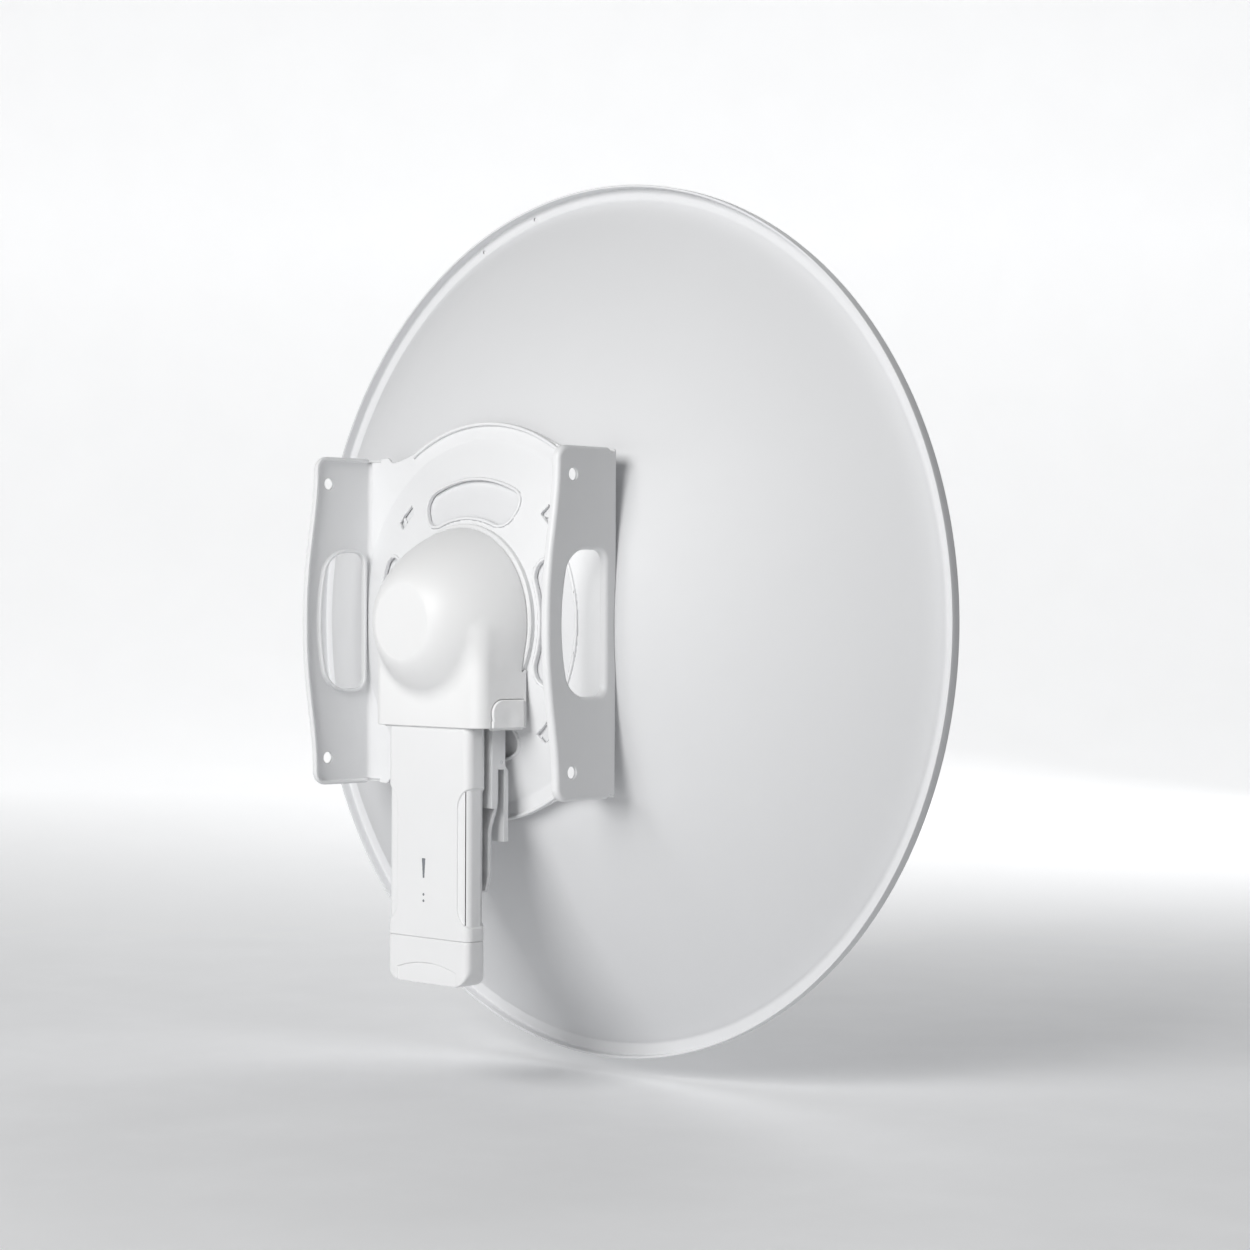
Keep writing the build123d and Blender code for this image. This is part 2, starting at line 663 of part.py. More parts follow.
with BuildPart() as radio_hanger:
    with BuildSketch(Plane.YZ) as hanger_side:
        with BuildLine():
            Polyline(
                (HANGER_BACK_Y, HANGER_TOP_Z),
                (HANGER_BACK_Y, HANGER_END_Z),
                (BACK_PLATE_Y, HANGER_END_Z),
                (BACK_PLATE_Y, KNUCKLE_END_Z),
                (HANGER_FRONT_Y, KNUCKLE_END_Z),
                (HANGER_FRONT_Y, RING_CLEAR_Z),
                (RING_CLEAR_Y, RING_CLEAR_Z),
                (RING_CLEAR_Y, HANGER_TOP_Z),
                close=True,
            )
        make_face()
    extrude(amount=HANGER_HALF_W, both=True)
    # stop leg in front of the latch
    with BuildSketch(Plane.YZ) as stop_leg:
        with BuildLine():
            Polyline(
                (HANGER_FRONT_Y + 2, -96.0),
                (HANGER_FRONT_Y - 1 - STOP_LEG_SHEET, -104.0),
                (HANGER_FRONT_Y - 1 - STOP_LEG_SHEET, STOP_LEG_END_Z),
                (HANGER_FRONT_Y - 1, STOP_LEG_END_Z),
                (HANGER_FRONT_Y - 1, -103.5),
                (HANGER_FRONT_Y + 2, -100.0),
                close=True,
            )
        make_face()
    extrude(amount=HANGER_HALF_W - 2, both=True)
    # recess for the latch knuckle, open at the bottom
    with BuildSketch(Plane.YZ):
        with Locations((LATCH_PIVOT_Y, LATCH_PIVOT_Z - 4)):
            Rectangle(7.6, 17)
    extrude(amount=CHEEK_X, both=True, mode=Mode.SUBTRACT)
    with BuildSketch(Plane.YZ):
        with Locations((LATCH_PIVOT_Y, LATCH_PIVOT_Z)):
            Circle(PIN_R + 0.02)
    extrude(amount=HANGER_HALF_W + 1, both=True, mode=Mode.SUBTRACT)
    # T rail that carries the radio
    with BuildSketch(Plane.XY.offset(RAIL_END_Z)) as rail_section:
        with BuildLine():
            Polyline(
                (-RAIL_NECK, HANGER_BACK_Y - 1),
                (-RAIL_NECK, RAIL_FRONT_Y),
                (-RAIL_HEAD, RAIL_FRONT_Y),
                (-RAIL_HEAD, RAIL_BACK_Y),
                (RAIL_HEAD, RAIL_BACK_Y),
                (RAIL_HEAD, RAIL_FRONT_Y),
                (RAIL_NECK, RAIL_FRONT_Y),
                (RAIL_NECK, HANGER_BACK_Y - 1),
                close=True,
            )
        make_face()
    extrude(amount=RAIL_TOP_Z - RAIL_END_Z)
    # top corners clear the ring and carry two screws
    with BuildSketch(facing_rear(0)):
        with Locations(*HANGER_SCREWS_AT):
            Circle(1.7)
    extrude(amount=20, mode=Mode.SUBTRACT)
write(radio_hanger, "radio_hanger")

with BuildPart() as hanger_screws:
    with BuildSketch(facing_rear(HANGER_BACK_Y + 2.2)):
        with Locations(*HANGER_SCREWS_AT):
            Circle(2.5)
    extrude(amount=2.2 - GAP)
    with BuildSketch(facing_rear(HANGER_BACK_Y + 1)):
        with Locations(*HANGER_SCREWS_AT):
            Circle(1.5)
    extrude(amount=10)
write(hanger_screws, "hanger_screws")

with BuildPart() as latch_pin:
    with BuildSketch(Plane.YZ):
        with Locations((LATCH_PIVOT_Y, LATCH_PIVOT_Z)):
            Circle(PIN_R)
    extrude(amount=HANGER_HALF_W - 0.5, both=True)
write(latch_pin, "latch_pin")

LATCH_PATH = [(-15.8, -98.0), (-15.8, -128.0), (-9.2, -145.0), (-8.8, -180.0)]

with BuildPart() as latch_arm:
    with BuildSketch(Plane.YZ):
        with BuildLine():
            FilletPolyline(*LATCH_PATH, radius=(20, 14))
        trace(line_width=LATCH_SHEET)
    extrude(amount=CHEEK_X - FIT, both=True)
    with BuildSketch(Plane.YZ) as latch_tip:
        Polygon((-10.3, -178.0), (-7.3, -178.0), (LATCH_TIP_Y, -188.0), (-7.4, -189.3), align=None)
    extrude(amount=CHEEK_X - FIT, both=True)
    with BuildSketch(Plane.YZ):
        with Locations((LATCH_PIVOT_Y, LATCH_PIVOT_Z)):
            Circle(KNUCKLE_R)
    extrude(amount=CHEEK_X - FIT, both=True)
    with BuildSketch(Plane.YZ):
        with Locations((LATCH_PIVOT_Y, LATCH_PIVOT_Z)):
            Circle(PIN_R + 0.05)
    extrude(amount=HANGER_HALF_W, both=True, mode=Mode.SUBTRACT)
write(latch_arm, "latch_arm")


# ---------------------------------------------------------------- shroud and its release tabs

DOME_SHARES = (0.0, 0.12, 0.26, 0.42, 0.58, 0.72, 0.84, 0.93, 0.98, 1.0)
DOME_DEPTH = DOME_END_Y - DOME_BASE_Y
BOX_CORNER_R = 9.0
WALL_SLOPE = (BOX_FRONT_X - BOX_REAR_X) / (BOX_REAR_Y - BOX_FRONT_Y)
SIDE_WALL = SHROUD_WALL * (1 + WALL_SLOPE) / hypot(1, WALL_SLOPE)
TAB_CENTRE_Y = -5.0
TAB_W = 26.0
TAB_TOP_Z = -53.5
TAB_PROUD = 1.6
KEEPER_GAP = 0.3
TAB_ARC_R = 9.0


def dome_face(inset):
    """Half section of the dome, drawn inside the outer surface by the inset."""
    end = DOME_END_Y - inset
    depth = end - DOME_BASE_Y
    wall = [(dome_radius(share, inset), DOME_BASE_Y + depth * share) for share in DOME_SHARES]
    with BuildSketch(Plane.XY, mode=Mode.PRIVATE) as half:
        with BuildLine():
            Spline(*wall)
            Polyline(wall[-1], (0, end), (0, DOME_BASE_Y), wall[0])
        make_face()
    return half.sketch


def box_outline(inset):
    """Plan view of the shroud's box: sides flare slightly towards the dish."""
    front = BOX_FRONT_X - inset
    rear = BOX_REAR_X - inset
    with BuildSketch(mode=Mode.PRIVATE) as outline:
        Polygon(
            (-front, BOX_FRONT_Y - inset),
            (front, BOX_FRONT_Y - inset),
            (rear, BOX_REAR_Y - inset),
            (-rear, BOX_REAR_Y - inset),
            align=None,
        )
        fillet(outline.vertices().group_by(Axis.Y)[-1], radius=BOX_CORNER_R - inset)
    return outline.sketch


wall_x = BOX_REAR_X + WALL_SLOPE * (BOX_REAR_Y - TAB_CENTRE_Y)
tab_plane = Plane(
    origin=(wall_x, TAB_CENTRE_Y, BOX_BOTTOM_Z), x_dir=(-WALL_SLOPE, 1, 0), z_dir=(1, WALL_SLOPE, 0)
)


def tab_outline(shrink):
    """Release tab seen from outside: square at the front, one round corner at the upper rear."""
    width = TAB_W - 2 * shrink
    height = TAB_TOP_Z - BOX_BOTTOM_Z - shrink
    with BuildSketch(mode=Mode.PRIVATE) as outline:
        with Locations((0, height / 2)):
            Rectangle(width, height)
        corner = outline.vertices().group_by(Axis.Y)[-1]
        fillet(corner.sort_by(Axis.X)[-1], radius=TAB_ARC_R - shrink)
        fillet(outline.vertices().group_by(Axis.Y)[-1].sort_by(Axis.X)[0], radius=2)
    return outline.sketch


with BuildPart() as tab_openings:
    with BuildSketch(tab_plane):
        add(tab_outline(-TAB_GAP))
    extrude(amount=8, both=True)
    mirror(about=Plane.YZ)

with BuildPart() as shroud:
    with BuildSketch(Plane.XY):
        add(dome_face(0))
    revolve(axis=Axis.Y)
    with BuildSketch(Plane.XY.offset(BOX_BOTTOM_Z)):
        add(box_outline(0))
    extrude(amount=-BOX_BOTTOM_Z)
    with BuildSketch(Plane.XY):
        add(dome_face(SHROUD_WALL))
    revolve(axis=Axis.Y, mode=Mode.SUBTRACT)
    with BuildSketch(Plane.XY.offset(BOX_BOTTOM_Z)):
        add(box_outline(SHROUD_WALL))
    extrude(amount=-BOX_BOTTOM_Z - SHROUD_WALL, mode=Mode.SUBTRACT)
    # clearance for the rear ring and the plate
    with BuildSketch(facing_rear(DOME_BASE_Y)):
        Circle(RING_R + 0.6)
    extrude(amount=20, mode=Mode.SUBTRACT)
    with BuildSketch(facing_rear(BOX_FRONT_Y + 1)):
        Rectangle(200, 200)
    extrude(amount=20, mode=Mode.SUBTRACT)
    add(tab_openings.part, mode=Mode.SUBTRACT)
write(shroud, "shroud")

with BuildPart() as release_tab_right:
    with BuildSketch(tab_plane.offset(-SIDE_WALL)):
        add(tab_outline(0))
    extrude(amount=SIDE_WALL + TAB_PROUD)
    outer_face = release_tab_right.faces().sort_by(Axis((0, 0, 0), (1, WALL_SLOPE, 0)))[-1]
    fillet(outer_face.edges(), radius=1.2)
    # flange inside the wall, which keeps the tab in its opening
    with BuildSketch(tab_plane.offset(-SIDE_WALL - KEEPER_GAP)):
        add(tab_outline(-1.4))
    extrude(amount=-1.0)
    with BuildSketch(tab_plane.offset(-SIDE_WALL - KEEPER_GAP)):
        add(tab_outline(2.0))
    extrude(amount=1.0)
with BuildPart() as release_tab_left:
    mirror(release_tab_right.part, about=Plane.YZ)
write(release_tab_right, "release_tab_right")
write(release_tab_left, "release_tab_left")


# ---------------------------------------------------------------- radio

REAR_CORNER_R = 6.0
FRONT_CORNER_R = 8.0
COVER_SHEET = 2.2
CHANNEL_END_Z = RAIL_END_Z - 1.0
CHANNEL_FLOOR_Y = 2.2
PCB_FRONT_Y = 4.6
PCB_SHEET = 1.6
GRIP_X = 31.0
GRIP_Z = (-213.0, -115.0)
GRIP_DEPTH = 1.1
RF_JACK_R = 3.2
SEAM_MARGIN = 2.5  # front cover to the housing's ends
COVER_SCREWS_AT = [(x, z) for x in (-29.0, 29.0) for z in (-78.0, -211.0)]
SCREW_HEAD_R = 2.6
SCREW_SHANK_R = 1.5
SCREW_RECESS = 1.4  # cover screws sit below the surface, clear of the latch
ETHERNET_Y = 6.2  # Ethernet jack and cable gland
ETHERNET_W = 16.2
ETHERNET_H = 13.4
ETHERNET_L = 18.0
RESET_AT = (22.0, 9.0)
RESET_R = 1.6
SHIELD_BACK_Y = 10.4
SHIELD_W = 46.0
SHIELD_H = 62.0
SHIELD_Z = -112.0
SHIELD_SHEET = 0.8


def radio_plan(inset):
    """Plan view of the radio's outer surface, drawn inside it by the inset."""
    half = RADIO_HALF_W - inset
    with BuildSketch(mode=Mode.PRIVATE) as plan:
        with Locations((0, (RADIO_REAR_Y + RADIO_FRONT_Y) / 2)):
            Rectangle(2 * half, RADIO_REAR_Y - RADIO_FRONT_Y - 2 * inset)
        fillet(plan.vertices().group_by(Axis.Y)[-1], radius=REAR_CORNER_R - inset)
        fillet(plan.vertices().group_by(Axis.Y)[0], radius=FRONT_CORNER_R - inset)
    return plan.sketch


with BuildPart() as grip_cutter:
    with BuildSketch(Plane.XY.offset(GRIP_Z[0])):
        add(radio_plan(-3))
        add(radio_plan(GRIP_DEPTH), mode=Mode.SUBTRACT)
    extrude(amount=GRIP_Z[1] - GRIP_Z[0])
    with BuildSketch(facing_rear(60)):
        for side in (-1, 1):
            with Locations((side * (GRIP_X + 20), (GRIP_Z[0] + GRIP_Z[1]) / 2)):
                RectangleRounded(40, GRIP_Z[1] - GRIP_Z[0], 15)
    extrude(amount=120, mode=Mode.INTERSECT)

COVER_HALF_W = RADIO_HALF_W - FRONT_CORNER_R - 0.5
LED_X = 3.0
LED_Z = (-180.0, -166.0)
DOT_Z = (-196.0, -191.5)


def led_outline(grow):
    """Signal bar, wider at its top, with two dots below it."""
    with BuildSketch(mode=Mode.PRIVATE) as shape:
        Polygon(
            (LED_X - 0.5 - grow, LED_Z[0] - grow),
            (LED_X + 0.5 + grow, LED_Z[0] - grow),
            (LED_X + 1.1 + grow, LED_Z[1] + grow),
            (LED_X - 1.1 - grow, LED_Z[1] + grow),
            align=None,
        )
        with Locations(*[(LED_X, z) for z in DOT_Z]):
            Circle(1.0 + grow)
    return shape.sketch


with BuildPart() as radio_housing:
    with BuildSketch(Plane.XY.offset(RADIO_SEAM_Z)):
        add(radio_plan(0))
    extrude(amount=RADIO_TOP_Z - RADIO_SEAM_Z)
    fillet(radio_housing.faces().sort_by(Axis.Z)[-1].edges().sort_by(Axis.Y)[-1], radius=2)
    with BuildSketch(Plane.XY.offset(RADIO_SEAM_Z + RADIO_WALL)):
        add(radio_plan(RADIO_WALL))
    extrude(amount=RADIO_TOP_Z - RADIO_SEAM_Z - 2 * RADIO_WALL, mode=Mode.SUBTRACT)
    # the front is closed by a separate cover
    with BuildSketch(facing_rear(RADIO_FRONT_Y + COVER_SHEET + GAP)):
        with Locations((0, (RADIO_TOP_Z + RADIO_SEAM_Z) / 2)):
            Rectangle(2 * COVER_HALF_W + 2 * GAP, RADIO_TOP_Z - RADIO_SEAM_Z - 2 * SEAM_MARGIN + 2 * GAP)
    extrude(amount=20, mode=Mode.SUBTRACT)
    # rail channel leaves through the top wall
    with BuildSketch(Plane.XY.offset(RADIO_TOP_Z + 1)):
        with Locations((0, RADIO_FRONT_Y)):
            Rectangle(2 * (RAIL_HEAD + FIT + RADIO_WALL + GAP), 2 * (PCB_FRONT_Y - RADIO_FRONT_Y))
    extrude(amount=-RADIO_WALL - 3, mode=Mode.SUBTRACT)
    with BuildSketch(Plane.XY.offset(RADIO_TOP_Z + 1)):
        with Locations((-PLUG_X, PLUG_Y), (PLUG_X, PLUG_Y)):
            Circle(RF_JACK_R + GAP)
    extrude(amount=-RADIO_WALL - 3, mode=Mode.SUBTRACT)
    # Ethernet and reset openings in the bottom wall
    with BuildSketch(Plane.XY.offset(RADIO_SEAM_Z - 1)):
        with Locations((0, ETHERNET_Y)):
            Rectangle(ETHERNET_W + 2 * GAP, ETHERNET_H + 2 * GAP)
        with Locations(RESET_AT):
            Circle(RESET_R + 0.3)
    extrude(amount=RADIO_WALL + 3, mode=Mode.SUBTRACT)
    with BuildSketch(facing_rear(60)):
        add(led_outline(GAP))
    extrude(amount=50, mode=Mode.SUBTRACT)
    add(grip_cutter.part, mode=Mode.SUBTRACT)
write(radio_housing, "radio_housing")

with BuildPart() as radio_front_cover:
    with BuildSketch(facing_rear(RADIO_FRONT_Y + COVER_SHEET)):
        with Locations((0, (RADIO_TOP_Z + RADIO_SEAM_Z) / 2)):
            Rectangle(2 * COVER_HALF_W, RADIO_TOP_Z - RADIO_SEAM_Z - 2 * SEAM_MARGIN)
    extrude(amount=COVER_SHEET)
    # T channel for the hanger's rail
    channel_half = RAIL_HEAD + FIT
    with BuildSketch(Plane.XY.offset(CHANNEL_END_Z - RADIO_WALL)):
        with Locations((0, (RADIO_FRONT_Y + PCB_FRONT_Y - FIT) / 2)):
            Rectangle(2 * (channel_half + RADIO_WALL), PCB_FRONT_Y - FIT - RADIO_FRONT_Y)
    extrude(amount=RADIO_TOP_Z - CHANNEL_END_Z + RADIO_WALL)
    with BuildSketch(Plane.XY.offset(CHANNEL_END_Z)):
        with Locations((0, (CHANNEL_FLOOR_Y - 1 - FIT) / 2)):
            Rectangle(2 * channel_half, CHANNEL_FLOOR_Y + 1 + FIT)
        with Locations((0, RADIO_FRONT_Y)):
            Rectangle(2 * (RAIL_NECK + FIT), 8)
    extrude(amount=RADIO_TOP_Z - CHANNEL_END_Z + 1, mode=Mode.SUBTRACT)
    with BuildSketch(facing_rear(RADIO_FRONT_Y + 6)):
        with Locations(*COVER_SCREWS_AT):
            Circle(SCREW_SHANK_R + 0.2)
    extrude(amount=8, mode=Mode.SUBTRACT)
    with BuildSketch(facing_rear(RADIO_FRONT_Y + SCREW_RECESS)):
        with Locations(*COVER_SCREWS_AT):
            Circle(SCREW_HEAD_R + 0.3)
    extrude(amount=2 * SCREW_RECESS, mode=Mode.SUBTRACT)
write(radio_front_cover, "radio_front_cover")

with BuildPart() as cover_screws:
    with BuildSketch(facing_rear(RADIO_FRONT_Y + SCREW_RECESS - GAP)):
        with Locations(*COVER_SCREWS_AT):
            Circle(SCREW_HEAD_R)
    extrude(amount=SCREW_RECESS - 2 * GAP)
    with BuildSketch(facing_rear(RADIO_FRONT_Y + 7)):
        with Locations(*COVER_SCREWS_AT):
            Circle(SCREW_SHANK_R)
    extrude(amount=7 - SCREW_RECESS / 2)
write(cover_screws, "cover_screws")

with BuildPart() as radio_pcb:
    with BuildSketch(facing_rear(PCB_FRONT_Y + PCB_SHEET)) as board:
        with Locations((0, -145)):
            RectangleRounded(76, 144, 2)
        with Locations((0, -213)):
            Rectangle(17.2, 24, mode=Mode.SUBTRACT)
        with Locations(*COVER_SCREWS_AT):
            Circle(SCREW_SHANK_R + 0.7, mode=Mode.SUBTRACT)
    extrude(amount=PCB_SHEET)
write(radio_pcb, "radio_pcb")

with BuildPart() as rf_shield:
    with BuildSketch(facing_rear(SHIELD_BACK_Y)):
        with Locations((0, SHIELD_Z)):
            RectangleRounded(SHIELD_W, SHIELD_H, 2)
    extrude(amount=SHIELD_BACK_Y - PCB_FRONT_Y - PCB_SHEET - GAP)
    with BuildSketch(facing_rear(SHIELD_BACK_Y - SHIELD_SHEET)):
        with Locations((0, SHIELD_Z)):
            RectangleRounded(SHIELD_W - 2 * SHIELD_SHEET, SHIELD_H - 2 * SHIELD_SHEET, 1.2)
    extrude(amount=10, mode=Mode.SUBTRACT)
write(rf_shield, "rf_shield")

with BuildPart() as radio_rf_jacks:
    for x in (-PLUG_X, PLUG_X):
        with BuildSketch(Plane.XY.offset(RADIO_TOP_Z - 4.5)):
            with Locations((x, PLUG_Y + 4)):
                Rectangle(9, 4.6)
        extrude(amount=2.4)
        with BuildSketch(Plane.XY.offset(RADIO_TOP_Z - 4.5)):
            with Locations((x, PLUG_Y)):
                Circle(RF_JACK_R)
        extrude(amount=RADIO_JACK_TOP_Z - RADIO_TOP_Z + 4.5)
write(radio_rf_jacks, "radio_rf_jacks")

with BuildPart() as ethernet_jack:
    with BuildSketch(Plane.XY.offset(RADIO_SEAM_Z)):
        with Locations((0, ETHERNET_Y)):
            Rectangle(ETHERNET_W, ETHERNET_H)
    extrude(amount=ETHERNET_L)
    with BuildSketch(Plane.XY.offset(RADIO_SEAM_Z - 1)):
        with Locations((0, ETHERNET_Y)):
            Rectangle(11.8, 7.2)
        with Locations((0, 11)):
            Rectangle(4.2, 3.4)
    extrude(amount=ETHERNET_L - 3, mode=Mode.SUBTRACT)
write(ethernet_jack, "ethernet_jack")

with BuildPart() as led_light_pipes:
    with BuildSketch(facing_rear(RADIO_REAR_Y)):
        add(led_outline(0))
    extrude(amount=4.5)
    with BuildSketch(facing_rear(RADIO_REAR_Y - 2.4)):
        with Locations((LED_X, (LED_Z[1] + DOT_Z[0]) / 2)):
            RectangleRounded(6, LED_Z[1] - DOT_Z[0] + 6, 2)
    extrude(amount=2.1)
write(led_light_pipes, "led_light_pipes")

with BuildPart() as reset_button:
    with BuildSketch(Plane.XY.offset(RADIO_SEAM_Z - 0.8)):
        with Locations(RESET_AT):
            Circle(RESET_R)
    extrude(amount=8)
    with BuildSketch(Plane.XY.offset(RADIO_SEAM_Z + RADIO_WALL + 0.4)):
        with Locations(RESET_AT):
            Circle(RESET_R + 1)
    extrude(amount=1.2)
write(reset_button, "reset_button")


# ---------------------------------------------------------------- port cover

COVER_TOP_Z = RADIO_SEAM_Z - 0.4
GLAND_R = 6.5
GLAND_BORE_R = 1.2
COVER_CORNER_R = 15.0
LEDGE_DEPTH = 0.7

with BuildPart() as cover_cavity:
    with BuildSketch(Plane.XY.offset(RADIO_BOTTOM_Z + RADIO_WALL)):
        add(radio_plan(RADIO_WALL))
    extrude(amount=60)
    with BuildSketch(facing_rear(60)) as silhouette:
        with Locations((0, RADIO_BOTTOM_Z + RADIO_WALL + 30)):
            Rectangle(2 * (RADIO_HALF_W - RADIO_WALL), 60)
        fillet(silhouette.vertices().group_by(Axis.Y)[0], radius=COVER_CORNER_R - RADIO_WALL)
    extrude(amount=120, mode=Mode.INTERSECT)

with BuildPart() as port_cover:
    with BuildSketch(Plane.XY.offset(RADIO_BOTTOM_Z)):
        add(radio_plan(0))
    extrude(amount=COVER_TOP_Z - RADIO_BOTTOM_Z)
    with BuildSketch(facing_rear(60)) as silhouette:
        with Locations((0, (COVER_TOP_Z + RADIO_BOTTOM_Z) / 2)):
            Rectangle(2 * RADIO_HALF_W, COVER_TOP_Z - RADIO_BOTTOM_Z)
        fillet(silhouette.vertices().group_by(Axis.Y)[0], radius=COVER_CORNER_R)
    extrude(amount=120, mode=Mode.INTERSECT)
    add(cover_cavity.part, mode=Mode.SUBTRACT)
    with BuildSketch(Plane.XY.offset(RADIO_BOTTOM_Z - 1)):
        with Locations((0, ETHERNET_Y)):
            Circle(GLAND_R)
    extrude(amount=10, mode=Mode.SUBTRACT)
    # thumb ledge: the rear face steps in below a shallow arc
    with BuildSketch(facing_rear(60)):
        with BuildLine():
            ThreePointArc((-30, -244.5), (0, -239.5), (30, -244.5))
            Polyline((30, -244.5), (30, -270), (-30, -270), (-30, -244.5))
        make_face()
    extrude(amount=60 - RADIO_REAR_Y + LEDGE_DEPTH, mode=Mode.SUBTRACT)
write(port_cover, "port_cover")

with BuildPart() as cable_gland:
    with BuildSketch(Plane.XY.offset(RADIO_BOTTOM_Z)):
        with Locations((0, ETHERNET_Y)):
            Circle(GLAND_R - GAP)
    extrude(amount=RADIO_WALL)
    with BuildSketch(Plane.XY.offset(RADIO_BOTTOM_Z + RADIO_WALL + GAP)):
        with Locations((0, ETHERNET_Y)):
            Circle(GLAND_R + 1.2)
    extrude(amount=2)
    with BuildSketch(Plane.XY.offset(RADIO_BOTTOM_Z + RADIO_WALL)):
        with Locations((0, ETHERNET_Y)):
            Circle(GLAND_R - 2)
    extrude(amount=1)
    with BuildSketch(Plane.XY.offset(RADIO_BOTTOM_Z - 1)):
        with Locations((0, ETHERNET_Y)):
            Circle(GLAND_BORE_R)
    extrude(amount=10, mode=Mode.SUBTRACT)
write(cable_gland, "cable_gland")
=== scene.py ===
"""Studio scene of the outdoor wireless bridge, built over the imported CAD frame.

Shapes are worked out in millimetres and turned into metres when a mesh is made. The frame is the
CAD one: +Z up, the dish faces -Y, +X to the right of someone facing it. Sheet-metal and moulded
shells are distance fields that are meshed on a fine grid; turned parts are rounded profiles.
"""

import json
import math

import bmesh
import bpy
import numpy as np
from mathutils import Matrix, Vector


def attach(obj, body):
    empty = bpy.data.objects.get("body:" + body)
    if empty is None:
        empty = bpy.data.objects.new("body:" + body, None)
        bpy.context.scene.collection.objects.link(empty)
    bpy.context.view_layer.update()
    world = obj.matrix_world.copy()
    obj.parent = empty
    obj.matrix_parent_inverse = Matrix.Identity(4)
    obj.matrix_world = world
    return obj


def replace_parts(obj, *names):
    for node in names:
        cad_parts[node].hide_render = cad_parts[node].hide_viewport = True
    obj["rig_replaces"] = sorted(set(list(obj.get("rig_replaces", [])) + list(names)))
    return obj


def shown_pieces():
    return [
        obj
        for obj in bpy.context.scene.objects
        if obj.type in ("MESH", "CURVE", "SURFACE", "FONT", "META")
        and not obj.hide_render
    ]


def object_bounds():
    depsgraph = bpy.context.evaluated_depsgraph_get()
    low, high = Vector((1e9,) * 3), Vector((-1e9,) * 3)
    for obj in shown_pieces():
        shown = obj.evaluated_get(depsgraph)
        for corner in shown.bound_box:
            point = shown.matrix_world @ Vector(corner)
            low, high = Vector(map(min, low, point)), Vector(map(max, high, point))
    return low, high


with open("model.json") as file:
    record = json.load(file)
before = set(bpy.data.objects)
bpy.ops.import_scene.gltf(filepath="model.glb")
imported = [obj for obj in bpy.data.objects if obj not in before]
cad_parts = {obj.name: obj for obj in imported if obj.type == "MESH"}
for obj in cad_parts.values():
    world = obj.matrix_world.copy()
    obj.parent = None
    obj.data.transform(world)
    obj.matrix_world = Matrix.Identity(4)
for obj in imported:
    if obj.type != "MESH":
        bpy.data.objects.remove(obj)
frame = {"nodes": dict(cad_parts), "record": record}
cad_low, cad_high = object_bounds()
MM = 0.001


# ---------------------------------------------------------------- distance-field helpers


def both(a, b, radius=0.0):
    """Intersection of two fields with a rounded outer edge."""
    if radius == 0:
        return np.maximum(a, b)
    corner = np.hypot(np.maximum(a + radius, 0), np.maximum(b + radius, 0))
    return np.minimum(np.maximum(a, b), -radius) + corner


def blend(a, b, width):
    """Union of two fields with a soft crease."""
    share = np.maximum(width - np.abs(a - b), 0) / width
    return np.minimum(a, b) - share**2 * width / 4


def slab(value, low, high):
    """Field of the space between two parallel planes."""
    return np.abs(value - (low + high) / 2) - (high - low) / 2


def rect(u, v, half_u, half_v, radius=0.0):
    """Field of a centred rectangle with rounded corners."""
    a = np.abs(u) - half_u + radius
    b = np.abs(v) - half_v + radius
    return np.hypot(np.maximum(a, 0), np.maximum(b, 0)) + np.minimum(np.maximum(a, b), 0) - radius


def path_distance(u, v, points):
    """Distance to a polyline."""
    best = None
    for (u0, v0), (u1, v1) in zip(points[:-1], points[1:]):
        du, dv = u1 - u0, v1 - v0
        along = np.clip(((u - u0) * du + (v - v0) * dv) / (du * du + dv * dv), 0, 1)
        distance = np.hypot(u - u0 - along * du, v - v0 - along * dv)
        best = distance if best is None else np.minimum(best, distance)
    return best


def field_slope(field, points, step):
    """Gradient of a field by central differences."""
    columns = []
    for axis in range(3):
        offset = np.zeros(3)
        offset[axis] = step
        ahead = field(*(points + offset).T)
        behind = field(*(points - offset).T)
        columns.append((ahead - behind) / (2 * step))
    return np.stack(columns, axis=1)


def swept(angles, profile):
    """Points of a profile of (r, y) at each angle, in radians, around the boresight."""
    r, y = profile[:, 0], profile[:, 1]
    around = np.asarray(angles)[:, None]
    grid = [np.cos(around) * r, np.broadcast_to(y, (len(angles), len(r))), np.sin(around) * r]
    return np.stack(grid, axis=2).reshape(-1, 3)


def net_vertices(values, active, axes, cell):
    """One point in each active cell, at the mean of its edge crossings."""
    index = np.stack(np.nonzero(active), axis=1)
    total = np.zeros(index.shape)
    count = np.zeros(len(index))
    for axis in range(3):
        first, second = (axis + 1) % 3, (axis + 2) % 3
        for a in (0, 1):
            for b in (0, 1):
                start = np.zeros(3, int)
                start[first], start[second] = a, b
                end = start.copy()
                end[axis] = 1
                v0 = values[tuple((index + start).T)]
                v1 = values[tuple((index + end).T)]
                cross = (v0 < 0) != (v1 < 0)
                share = np.where(cross, v0 / np.where(cross, v0 - v1, 1), 0)
                point = index + start + share[:, None] * (end - start)
                total += point * cross[:, None]
                count += cross
    low = np.array([a[0] for a in axes])
    return low + cell * total / count[:, None]


